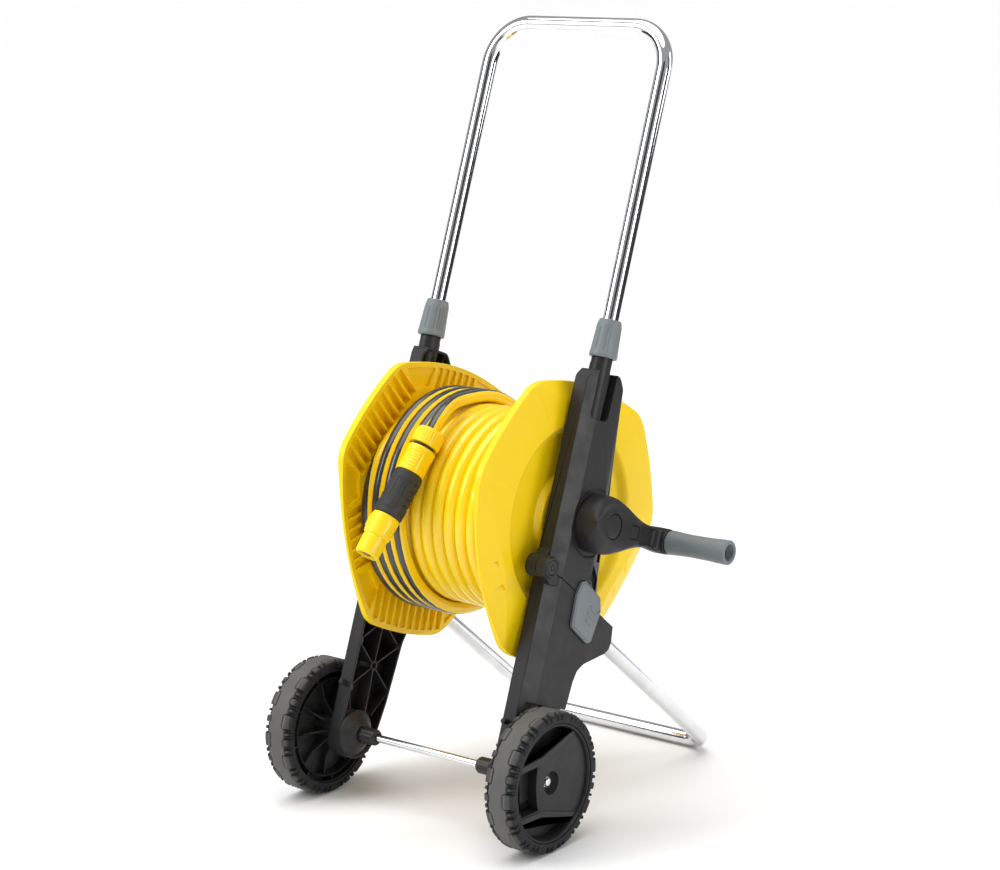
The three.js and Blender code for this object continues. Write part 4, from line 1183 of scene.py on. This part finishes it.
def crank_arm():
    along = [-CRANK_HUB * math.cos(math.radians(a)) for a in np.arange(0, 92, 2.5)]
    along += list(np.arange(1.5, CRANK_LENGTH, 1.0))
    along += [
        CRANK_LENGTH + CRANK_END * math.sin(math.radians(a)) for a in np.arange(0, 90.1, 5)
    ]
    rings = [[(x, u, v) for x, v in arm_section(u)] for u in along]
    count = len(rings[0])
    vertices = [p for ring in rings for p in ring]
    first_end = tuple(range(count))
    last_end = tuple(range((len(rings) - 1) * count, len(rings) * count))
    faces = [first_end, *between(len(rings), count), last_end]
    body = piece("crank_lever", vertices, faces, AT_CRANK)
    join(body, turned("end", [
        (-16, 0), (-16, 14.6, .5), (2, 15, .4), (2, 13.6, .4), (3, 13.6, .4), (3, 14.6, .4),
        (6, 14.6, .8), (6, 0),
    ], AT_GRIP, 96))
    cut(
        body,
        cylinder("cap_well", CAP_WELL, -5, 3, AT_ARM_FACE @ ABOUT_X, 96),
        prism("tab_well", square_tab(34.6, 50.4, 8.1, 1.4), -6.5, 3, AT_ARM_FACE),
        cylinder("under_well", 12, ARM_UNDER_X - 1, 152, AT_CRANK @ ABOUT_X),
        cylinder("pin_bore", 4.8, -20, 9, AT_GRIP, 48))
    body.name = "crank_lever"
    bevel(body, 0.35, 2, 50)
    return settle(shade(body, 45))


dress(crank_arm(), BLACK, "crank_arm")

cap = turned("crank_cap_button", [
    (-4.6, 0), (-4.6, 13.6), (-0.7, 13.8, .5), (-0.3, 12.0, 2), (0.3, 7.0, 3), (0.5, 0),
], AT_ARM_FACE @ ABOUT_X, 96)
dress(shade(cap, 45), BLACK, "crank_cap")
tab = prism("crank_tab_button", square_tab(35.5, 49.5, 7.2, 1.0), -6.0, -0.3, AT_ARM_FACE)
dress(soften(tab, 0.4), BLACK, "crank_lock_tab")
grip = turned("crank_grip_tube", [
    (6.4, 5.1, .2), (6.4, 12.9, .7), (8.0, 14.0, .8), (11, 14.2, 1), (22, 13.5, 8),
    (35, 13.0, 12), (62, 13.3, 8), (GRIP_LENGTH - 8, 14.2, 3), (GRIP_LENGTH - 1.2, 14.3, 1.1),
    (GRIP_LENGTH, 13.0, .8), (GRIP_LENGTH, 10.2, .8), (GRIP_LENGTH - 2, 9.4, .6),
    (GRIP_LENGTH - 14, 9, .2), (GRIP_LENGTH - 14, 5.1, .2),
], AT_GRIP, 128)
dress(shade(grip, 45), GREY, "crank_grip")
pin = turned("grip_pin_bar", [
    (-14, 0), (-14, 4.6, .5), (GRIP_LENGTH - 13, 4.6, .2), (GRIP_LENGTH - 13, 7.3, .6),
    (GRIP_LENGTH - 11.2, 7.3, .8), (GRIP_LENGTH - 10.5, 4.5, .8), (GRIP_LENGTH - 11.2, 3.4, .4),
    (GRIP_LENGTH - 12.4, 0),
], AT_GRIP, 64)
dress(shade(pin), STEEL, "grip_pin")


# ---------- legs ----------

HINGE = (-33, 231)
HINGE_RADIUS = 13
KNUCKLE_SPLIT = 127.5
KNUCKLE_X = 143
SEAM_END = (110, 183)
REEL_IN_LEGS = (28, 291)
STEM = (46, 184)
BUTTON = [(23, 209), (25, 172), (60, 157.5), (68, 160), (75, 196), (69, 211), (35, 226), (28, 224)]
SEAM_GAP = 0.4
KNUCKLE_GAP = 0.3
LEG_TOP = 459
COLLAR_FROM = 474.3
CORE_POST = (10.8, 79.8)
LOW_POSTS = ((-22, 106), (-22, 51), (48, 53), (50, 107))
HIGH_POST = (12, 134)


def seam_along(across):
    """Height of the seam between a lower and an upper leg: a line from the hinge to its end."""
    slope = (SEAM_END[1] - HINGE[1]) / (SEAM_END[0] - HINGE[0])
    return HINGE[1] + slope * (across - HINGE[0])


def inset(outline, distance):
    """The outline moved inward, or outward where the distance is below zero."""
    count = len(outline)
    area = sum(
        outline[i - 1][0] * outline[i][1] - outline[i][0] * outline[i - 1][1] for i in range(count))
    turn = 1 if area > 0 else -1
    result = []
    for i in range(count):
        here = Vector(outline[i][:2])
        first = (here - Vector(outline[i - 1][:2])).normalized()
        second = (Vector(outline[(i + 1) % count][:2]) - here).normalized()
        left, right = Vector((-first.y, first.x)), Vector((-second.y, second.x))
        middle_way = (left + right).normalized()
        reach = distance * turn / max(middle_way.dot(left), 0.35)
        result.append((here.x + middle_way.x * reach, here.y + middle_way.y * reach))
    return result


def strip(start, end, width):
    start, end = Vector(start), Vector(end)
    side = (end - start).normalized() * width / 2
    side = Vector((-side.y, side.x))
    return [tuple(start + side), tuple(end + side), tuple(end - side), tuple(start - side)]


def column(name, outline, low, high, place):
    """An outline of (x, across) points, extruded along the leg."""
    first, last = ([(p[0], p[1], z) for p in outline] for z in (low, high))
    return extruded(name, first, last, place)


def disc(name, radius, low, high, centre, place, sides=64):
    return cylinder(name, radius, low, high, place @ shifted(0, *centre) @ ABOUT_X, sides)


def rod_along(name, radius, low, high, place):
    """A round bar on the handle tube's line."""
    return cylinder(name, radius, low, high, place @ shifted(TUBE_X))


def from_face(name, outline, depth, rise, place):
    """A prism from depth under the leg's outer face to rise above it."""
    return prism(name, outline, LEG_OUTER_X - depth, LEG_OUTER_X + rise, place)


def button_recess(place):
    return from_face("recess", rounded(inset(BUTTON, -0.6), 4), 4, 1, place)


def front_slope(depth, place):
    """The slanted strip along the leg's front outer edge, depth under its surface."""
    low, high = (LEG_OUTER_X - 11, LEG_FRONT), (LEG_OUTER_X, LEG_FRONT + 18)
    return column("slope", [
        (low[0] - depth, low[1] - 1), (LEG_OUTER_X + 8, low[1] - 1),
        (LEG_OUTER_X + 8, high[1] + 13 + depth), (high[0] - depth, high[1] + depth),
        (low[0] - depth, low[1] + depth),
    ], -60, 540, place)


def stand_bore(radius, start, end, place):
    turn = Matrix.Rotation(-math.atan2(*STAND_WAY), 4, "X")
    return cylinder("socket", radius, start, end, place @ shifted(TUBE_X, *STAND_SOCKET) @ turn)


def rear_slope(points, place):
    """A wedge whose face goes through three points of a leg's rear outer edge."""
    a, b, c = (Vector(p) for p in points)
    along = (b - a).normalized()
    across = ((c - a) - along * (c - a).dot(along)).normalized()
    normal = along.cross(across)
    if normal.x < 0:
        normal = -normal
    corners = []
    for lift in (0, 30):
        for u, v in ((-30, -30), (260, -30), (260, 60), (-30, 60)):
            corners.append(a + along * u + across * v + normal * lift)
    return hexahedron("rear_slope", [tuple(p) for p in corners], place)


def channel(outline, kept, place):
    """An open channel with its closed face outward, and the hollow to cut from it at the end."""
    body = prism("leg", rounded(outline, 5), LEG_INNER_X, LEG_OUTER_X, place)
    cut(body, front_slope(0, place))
    inside = rounded(inset([p[:2] for p in outline], LEG_WALL), 3)
    hollow = prism("hollow", inside, LEG_INNER_X - 1, LEG_OUTER_X - LEG_WALL, place)
    cut(hollow, front_slope(LEG_WALL, place), *kept)
    return body, hollow


def ribs(pairs, width, low, place):
    return [prism("rib", strip(a, b, width), low, LEG_OUTER_X, place) for a, b in pairs]


def hinge_clear(low, high, place):
    return disc("hinge_clear", HINGE_RADIUS + 0.8, low, high, HINGE, place)


def hinge_bore(place):
    return disc("pin_bore", 4.3, LEG_INNER_X - 1, KNUCKLE_X + 1, HINGE, place, 32)


def socket_slot(place):
    """The slot at the top, where the tube's guide shows as a flat-faced half round."""
    slot = from_face("slot", rounded([
        (-13.5, 404, 6), (15, 404, 9), (17.5, 480, 0), (-13.5, 480, 0)], 4, 6), 11, 1, place)
    guide = rod_along("guide", 11.6, 402, 490, place)
    cut(guide, from_face("flat", [(-20, 400), (20, 400), (20, 490), (-20, 490)], 3.2, 3, place))
    return cut(slot, guide)


def upper_leg(side, place):
    outline = [
        (LEG_FRONT, seam_along(LEG_FRONT) + SEAM_GAP, 0), (SEAM_END[0], SEAM_END[1] + SEAM_GAP, 2),
        (104, 190, 6), (88, 204), (77, 217), (70, 234), (66, 262), (56, 328), (45, 376),
        (36, 424, 12), (33, 446, 12), (22, LEG_TOP, 12), (-16, LEG_TOP, 8), (LEG_FRONT, 449, 9),
    ]
    crossed = ribs([
        ((-24, 300), (46, 376)), ((-24, 400), (46, 376)), ((-24, 300), (60, 262)),
        ((20, 205), (66, 240)), ((66, 200), (24, 252)), ((48, 376), (0, 440)),
        ((18, 250), (18, 457)),
    ], 2.0, LEG_INNER_X + 2, place)
    slot_wall = rounded([(-19, 399), (20.5, 399), (20.5, 462), (-19, 462)], 6)
    body, hollow = channel(outline, [
        *crossed,
        rod_along("guide", 12.6, seam_along(0) + 6, LEG_TOP, place),
        disc("boss", 17, LEG_INNER_X - 1, LEG_OUTER_X, REEL_IN_LEGS, place),
        from_face("pad", inset(BUTTON, -LEG_WALL), 13, 0, place),
        from_face("slot_wall", slot_wall, 14, 0, place),
        from_face("notch_wall", [(42, 250), (40, 222), (80, 205), (80, 250)], 14, 0, place),
    ], place)
    inner_half = KNUCKLE_SPLIT - KNUCKLE_GAP
    cut(body, hinge_clear(inner_half, KNUCKLE_X + 1, place))
    web = [HINGE, (-20, 232), (LEG_FRONT + 2, 252), (LEG_FRONT, 252), (-31.5, 243.6)]
    join(
        body,
        turned("neck", [
            (440, 0), (440, 13.2), (466, 13.2), (468, 12.6), (COLLAR_FROM - 0.6, 12.6),
            (COLLAR_FROM - 0.6, 0),
        ], place @ shifted(TUBE_X), 72, fillet=0),
        rod_along("spigot", 11.7, 450, 482, place),
        disc("knuckle", HINGE_RADIUS, LEG_INNER_X + 1, inner_half, HINGE, place),
        prism("web", web, LEG_INNER_X + 1, inner_half, place))
    notch = rounded([(47.5, 246, 1), (46, 229, 1.5), (71, 213.5, 1), (69.0, 232, 2)], 1)
    cut(
        body,
        socket_slot(place),
        from_face("notch", notch, 11, 1, place),
        turned("dish", [
            (-1.0, 0), (-1.0, 38), (0.2, 40), (2, 40), (2, 0),
        ], place @ shifted(LEG_OUTER_X, *REEL_IN_LEGS) @ ABOUT_X, 128, fillet=0),
        button_recess(place),
        rear_slope([
            (LEG_OUTER_X, 33.5, 430), (LEG_OUTER_X, 46, 246), (LEG_OUTER_X - 7.5, 69, 246),
        ], place))
    soften(body, 0.7, 3)
    cut(
        body, hollow, hinge_bore(place),
        rod_along("tube_bore", TUBE_RADIUS + 0.7, seam_along(0) + 9, 500, place),
        disc("bearing_bore", 13.5, LEG_INNER_X - 6, LEG_OUTER_X + 1, REEL_IN_LEGS, place))
    body.name = f"upper_leg_shell_{side}"
    return even_normals(body, 35)


def lower_ribs(place):
    """A long rib up the leg's middle, and crossed ones between posts."""
    return ribs([
        ((13, 25), (10.8, 75)), ((10.8, 84), (14, 226)),
    ], 2.2, LEG_INNER_X + 0.6, place) + ribs([
        ((7, 83), (-24, 106)), ((7, 76), (-24, 52)), ((15, 83), (50, 107)), ((15, 77), (48, 53)),
        ((-24, 106), HIGH_POST), ((50, 107), HIGH_POST), (HIGH_POST, (-24, 162)),
        (HIGH_POST, (50, 166)), ((-24, 52), (-14, 24)), ((48, 53), (26, 22)),
        ((-24, 162), (12, 192)), ((50, 166), (12, 192)),
    ], 1.9, LEG_INNER_X + 1.6, place)


def lower_posts(place):
    low = LEG_INNER_X + 1.2
    return [
        disc("post", 5.6, LEG_INNER_X + 0.4, LEG_OUTER_X, CORE_POST, place, 40),
        *[disc("post", 4.6, low, LEG_OUTER_X, point, place, 32) for point in LOW_POSTS],
        disc("post", 5.0, low, LEG_OUTER_X, HIGH_POST, place, 32),
    ]


def lower_knuckle(place):
    """The outer half of the hinge, a shoulder that carries it, and a peg on the leg's front."""
    from_x = KNUCKLE_SPLIT + KNUCKLE_GAP
    knuckle = turned("knuckle", [
        (from_x, 0), (from_x, HINGE_RADIUS), (KNUCKLE_X - 3, HINGE_RADIUS),
        (KNUCKLE_X - 3, HINGE_RADIUS - 1), (KNUCKLE_X, HINGE_RADIUS - 1.4), (KNUCKLE_X, 0),
    ], place @ shifted(0, *HINGE) @ ABOUT_X, 72, fillet=0)
    web = prism("web", [
        HINGE, (-36, 218.5), (LEG_FRONT, 212.5), (-9, 212.5), (-9, seam_along(-9) - SEAM_GAP),
        (LEG_FRONT + 1, seam_along(LEG_FRONT + 1) - SEAM_GAP),
    ], from_x, LEG_OUTER_X - 2.2, place)
    peg = turned("peg", [
        (-10, 0), (-10, 2.6), (-9, 3.4), (2, 3.4), (2, 0),
    ], place @ shifted(120, LEG_FRONT, 55) @ turned_about_x(-90), 32, fillet=0)
    return knuckle, web, peg


def step_block(name, from_x, high, place):
    """The thickness by which the leg's foot steps inward, behind the wheel."""
    return column(name, [(from_x, -60), (148, -60), (148, 80), (from_x, 80)], -60, high, place)


def lower_leg(side, place):
    outline = [
        (LEG_FRONT, seam_along(LEG_FRONT) - SEAM_GAP, 0),
        *[(*p, 0) for p in arc((8, 2), 33, 180, 350, 24)],
        (48, 40), (51, 78), (54, 112), (58, 125), (68, 134), (104, 150), (111, 156), (113, 165),
        (SEAM_END[0], SEAM_END[1] - SEAM_GAP, 2),
    ]
    body, hollow = channel(outline, [
        *lower_ribs(place),
        *lower_posts(place),
        stand_bore(13, -3, 60, place),
        disc("axle_boss", 20, LEG_INNER_X - 1, LEG_OUTER_X, (0, 0), place),
        from_face("pad", inset(BUTTON, -LEG_WALL), 13, 0, place),
        step_block("step_wall", 130, 83, place),
    ], place)
    cut(body, hinge_clear(LEG_INNER_X - 1, KNUCKLE_SPLIT + KNUCKLE_GAP, place))
    join(body, *lower_knuckle(place))
    cut(
        body, button_recess(place), step_block("step", 133, 80, place),
        disc("head_bore", 8.6, KNUCKLE_X - 2, KNUCKLE_X + 1, HINGE, place, 48))
    soften(body, 0.7, 3)
    cut(
        body, hollow, hinge_bore(place),
        disc("spring_bore", 7, LEG_OUTER_X - 9.5, LEG_OUTER_X, STEM, place, 32),
        disc("stem_bore", 4.3, LEG_INNER_X - 1, LEG_OUTER_X, STEM, place, 32),
        disc("post_bore", 3.6, LEG_INNER_X - 1, LEG_OUTER_X - 4, CORE_POST, place, 32),
        disc("axle_bore", 4.8, 90, LEG_OUTER_X + 1, (0, 0), place, 32),
        stand_bore(TUBE_RADIUS + 0.6, 0, 90, place),
        disc("screw_bore", 2.2, LEG_INNER_X - 2, 128, (84, 173), place, 24))
    body.name = f"lower_leg_shell_{side}"
    return even_normals(body, 35)


def hinge_head(side, place):
    """The pin's oval head with two round lugs, in the knuckle's ring."""
    pin = disc("pin", 4, LEG_INNER_X + 1.5, KNUCKLE_X - 1.4, HINGE, place, 40)
    head = disc("head", 8, KNUCKLE_X - 1.7, KNUCKLE_X - 0.3, HINGE, place, 72)
    join(pin, head)
    slot_cut = prism("oval", rounded([
        (HINGE[0] - 5.2, HINGE[1] - 3.2), (HINGE[0] + 5.2, HINGE[1] - 3.2),
        (HINGE[0] + 5.2, HINGE[1] + 3.2), (HINGE[0] - 5.2, HINGE[1] + 3.2)], 3.1, 6),
        KNUCKLE_X - 1.1, KNUCKLE_X + 1, place)
    core = disc("core", 2.6, KNUCKLE_X - 2, KNUCKLE_X + 1, HINGE, place, 32)
    cut(slot_cut, core)
    cut(pin, slot_cut)
    pin.name = f"hinge_pin_head_{side}"
    return soften(pin, 0.3, 2)


CAP_BASE_X = LEG_OUTER_X + 0.3
CAP_TOP_X = LEG_OUTER_X + 3.2


def latch_button(side, place):
    """A cap with softly crowned edges, three slanted ridges and a stem."""
    cap = prism("cap", rounded(BUTTON, 5, 6), CAP_BASE_X - 0.8, CAP_TOP_X, place)
    crown = rounded(inset(BUTTON, 2.4), 4, 6)
    crown = prism("crown", crown, CAP_TOP_X - 0.2, CAP_TOP_X + 0.7, place)
    stem = disc("stem", 4, LEG_OUTER_X - 11, CAP_BASE_X - 1, STEM, place, 32)
    ridges = [
        prism("ridge", rounded(strip(
            (47 + 1.5 * i, 184 + 7.5 * i), (61 + 1.5 * i, 177.5 + 7.5 * i), 3.0), 1.4),
            CAP_TOP_X, CAP_TOP_X + 1.6, place)
        for i in range(3)
    ]
    join(cap, crown, stem, *ridges)
    cap.name = f"latch_button_cap_{side}"
    return soften(cap, 0.55, 3)


for side, mirror in SIDES.items():
    place = AT_LEGS @ mirror
    dress(upper_leg(side, place), BLACK, f"upper_leg_{side}")
    dress(lower_leg(side, place), BLACK, f"lower_leg_{side}")
    dress(hinge_head(side, place), SMOOTH_BLACK, f"hinge_pin_{side}")
    dress(latch_button(side, place), GREY, f"latch_button_{side}")

# ---------- twist collars ----------

COLLAR_LENGTH = 43.7
COLLAR_FLUTES = [math.radians(a) for a in (0, 15, 30, 45, 85, 125, 180, 195, 210, 225, 265, 305)]


def collar_wave(angle, z, r):
    """Grip flutes in two close groups with single ones between them."""
    ends = np.clip((z - 6) / 2.0, 0, 1) * np.clip((COLLAR_LENGTH - 9 - z) / 3.0, 0, 1)
    depth = 0
    for flute in COLLAR_FLUTES:
        off = np.abs((angle - flute + math.pi) % (2 * math.pi) - math.pi)
        depth = depth - 1.1 * np.exp(-(off / 0.075) ** 2)
    return depth * ends


def collar(side, place):
    """A fluted grip under a smooth shoulder, drawn from its lower end."""
    end = COLLAR_LENGTH
    shape = [(0, 12.2, .2), (0, 15.6, .8), (2, 16.3, .8), (5.5, 16.1, .6)]
    shape += [(6 + i, 15.9 - 0.052 * i) for i in range(29)]
    shape += [
        (end - 7, 14.2, 1), (end - 3, 13.2, 1), (end - 0.8, 12.7, .8), (end, 11.6, .6),
        (end, 9.8, .3), (end - 14, 9.8, .2), (end - 14, 12.2, .2),
    ]
    return turned(
        f"collar_{side}", shape, place @ shifted(TUBE_X, 0, COLLAR_FROM), 216,
        outer_only(13.4, collar_wave))


for side, mirror in SIDES.items():
    dress(shade(collar(side, AT_LEGS @ mirror), 50), GREY, f"twist_collar_{side}")

# ---------- water inlet ----------

AT_INLET = AT_REEL @ shifted(-162)


def six_flats(angle, z, r):
    return np.where(r > 12, -1.3 * (0.5 + 0.5 * np.cos(6 * angle)) ** 2, 0)


elbow = turned("inlet_elbow_body", [
    (-173, 0), (-173, 11.5, 1.5), (-171, 13, 1.5), (-146, 13, .8), (-145, 12, .5),
    (-142.5, 12, .5), (-142.5, 0),
], AT_REEL @ ABOUT_X, 96)
join(elbow, turned("down", [
    (-36, 0), (-36, 12.6), (-35, 13), (-28, 13), (-27, 12.6), (-27, 10.5), (0, 10.5), (0, 0),
], AT_INLET, 96, six_flats, fillet=0))
cut(
    elbow,
    cylinder("bore", 6.6, -165, -141, AT_REEL @ ABOUT_X, 48),
    cylinder("bore", 5.5, -38, 0, AT_INLET, 48))
elbow.name = "inlet_elbow_body"
dress(soften(elbow, 0.5, 2, 35), BLACK, "inlet_elbow")
nipple = turned("inlet_nipple_body", [
    (-60, 4), (-60, 8, .5), (-57, 8.6, .6), (-51, 8.6, .4), (-50, 6.4, .3), (-47.5, 6.4, .3),
    (-46.5, 9.2, .4), (-40, 9.2, .4), (-39, 12.5, .5), (-36.3, 12.5, .4), (-36.3, 5.2),
    (-22, 5.2), (-22, 4),
], AT_INLET, 96)
dress(shade(nipple), GREY, "inlet_nipple")

# ---------- camera ----------

CAMERA_PLACE = Vector((1.73713, -2.25543, 1.03523))
CAMERA_AZIMUTH = math.radians(38.44)
CAMERA_ELEVATION = math.radians(12.07)
CAMERA_ROLL = math.radians(-0.57)
CAMERA_LENS = 91.06


def make_camera():
    flat = math.cos(CAMERA_ELEVATION)
    forward = Vector((
        -math.sin(CAMERA_AZIMUTH) * flat,
        math.cos(CAMERA_AZIMUTH) * flat,
        -math.sin(CAMERA_ELEVATION),
    ))
    right = Vector((math.cos(CAMERA_AZIMUTH), math.sin(CAMERA_AZIMUTH), 0))
    up = right.cross(forward)
    across = right * math.cos(CAMERA_ROLL) + up * math.sin(CAMERA_ROLL)
    upward = up * math.cos(CAMERA_ROLL) - right * math.sin(CAMERA_ROLL)
    data = bpy.data.cameras.new("camera")
    data.lens = CAMERA_LENS
    data.sensor_width = 36
    data.clip_end = 60
    camera = linked("camera", data)
    turn = Matrix((across, upward, -forward)).transposed().to_4x4()
    camera.matrix_world = Matrix.Translation(CAMERA_PLACE) @ turn
    bpy.context.scene.camera = camera


# ---------- floor and light ----------


WORLD_LIGHT = 0.36
OVERHEAD_POWER = 2.45
OVERHEAD_SPREAD = math.radians(62)


def world_light():
    """White to the camera and a softer white as light."""
    scene = bpy.context.scene
    scene.view_settings.view_transform = "Standard"
    world = bpy.data.worlds.new("studio")
    world.use_nodes = True
    scene.world = world
    tree = world.node_tree
    shown = tree.nodes["Background"]
    shown.inputs["Color"].default_value = rgb(1, 1, 1)
    shown.inputs["Strength"].default_value = 1.0
    light = tree.nodes.new("ShaderNodeBackground")
    light.inputs["Color"].default_value = rgb(1, 1, 1)
    light.inputs["Strength"].default_value = WORLD_LIGHT
    mix = tree.nodes.new("ShaderNodeMixShader")
    path = tree.nodes.new("ShaderNodeLightPath")
    tree.links.new(path.outputs["Is Camera Ray"], mix.inputs[0])
    tree.links.new(light.outputs[0], mix.inputs[1])
    tree.links.new(shown.outputs[0], mix.inputs[2])
    tree.links.new(mix.outputs[0], tree.nodes["World Output"].inputs["Surface"])


def lamp(name, place, target, size, power):
    """A soft rectangular light aimed at a point."""
    data = bpy.data.lights.new(name, "AREA")
    data.shape = "RECTANGLE"
    data.size, data.size_y = size
    data.energy = power
    obj = linked(name, data)
    aim = Vector(target) - Vector(place)
    obj.rotation_euler = aim.to_track_quat("-Z", "Y").to_euler()
    obj.location = place
    return obj


def overhead():
    """A wide soft sun from above, which keeps the floor evenly white."""
    data = bpy.data.lights.new("overhead", "SUN")
    data.energy = OVERHEAD_POWER
    data.angle = OVERHEAD_SPREAD
    obj = linked("overhead", data)
    obj.rotation_euler = (math.radians(6), math.radians(-8), 0)
    return obj


def sheet(name, corners, grey, roughness):
    """One flat face of an even grey."""
    data = bpy.data.meshes.new(name)
    data.from_pydata(corners, [], [(0, 1, 2, 3)])
    n = Nodes(name)
    n.fix(Base_Color=rgb(grey, grey, grey), Roughness=roughness)
    data.materials.append(n.material)
    return linked(name, data), n


def card(name, centre, width, height, facing):
    """An upright dark card that only shows in reflections."""
    half, rise = width / 2, height / 2
    corners = [(-half, 0, -rise), (half, 0, -rise), (half, 0, rise), (-half, 0, rise)]
    obj, _ = sheet(name, corners, 0.02, 0.9)
    obj.location = centre
    obj.rotation_euler = (0, 0, math.radians(facing))
    obj.visible_camera = False
    obj.visible_diffuse = False
    obj.visible_shadow = False
    return obj


def floor():
    corners = [(-20, -20, 0), (20, -20, 0), (20, 20, 0), (-20, 20, 0)]
    obj, n = sheet("floor", corners, 0.9, 0.8)
    n.fix(Specular_IOR_Level=0.1)
    return obj


make_camera()
world_light()
key = lamp("key", (-1.9, -2.6, 2.2), (0, 0, 0.4), (1.8, 1.8), 52)
side_light = lamp("side", (2.6, 1.9, 1.6), (0.1, 0, 0.4), (1.0, 1.8), 32)
glint = lamp("glint", (3.1, -0.45, 0.9), (0.1, 0, 0.4), (0.7, 1.8), 40)
glint.visible_diffuse = False
floor()
overhead()
card("card_left", (-1.9, -0.9, 0.9), 1.1, 2.4, 70)
card("card_right", (2.0, 0.9, 0.9), 1.1, 2.4, 75)
card("card_front", (0.5, -2.9, 0.55), 0.7, 1.3, 10)
card("card_high", (1.6, -2.5, 2.6), 1.5, 1.6, 33)
card("card_low", (1.0, 1.25, 0.3), 2.0, 0.8, 120)
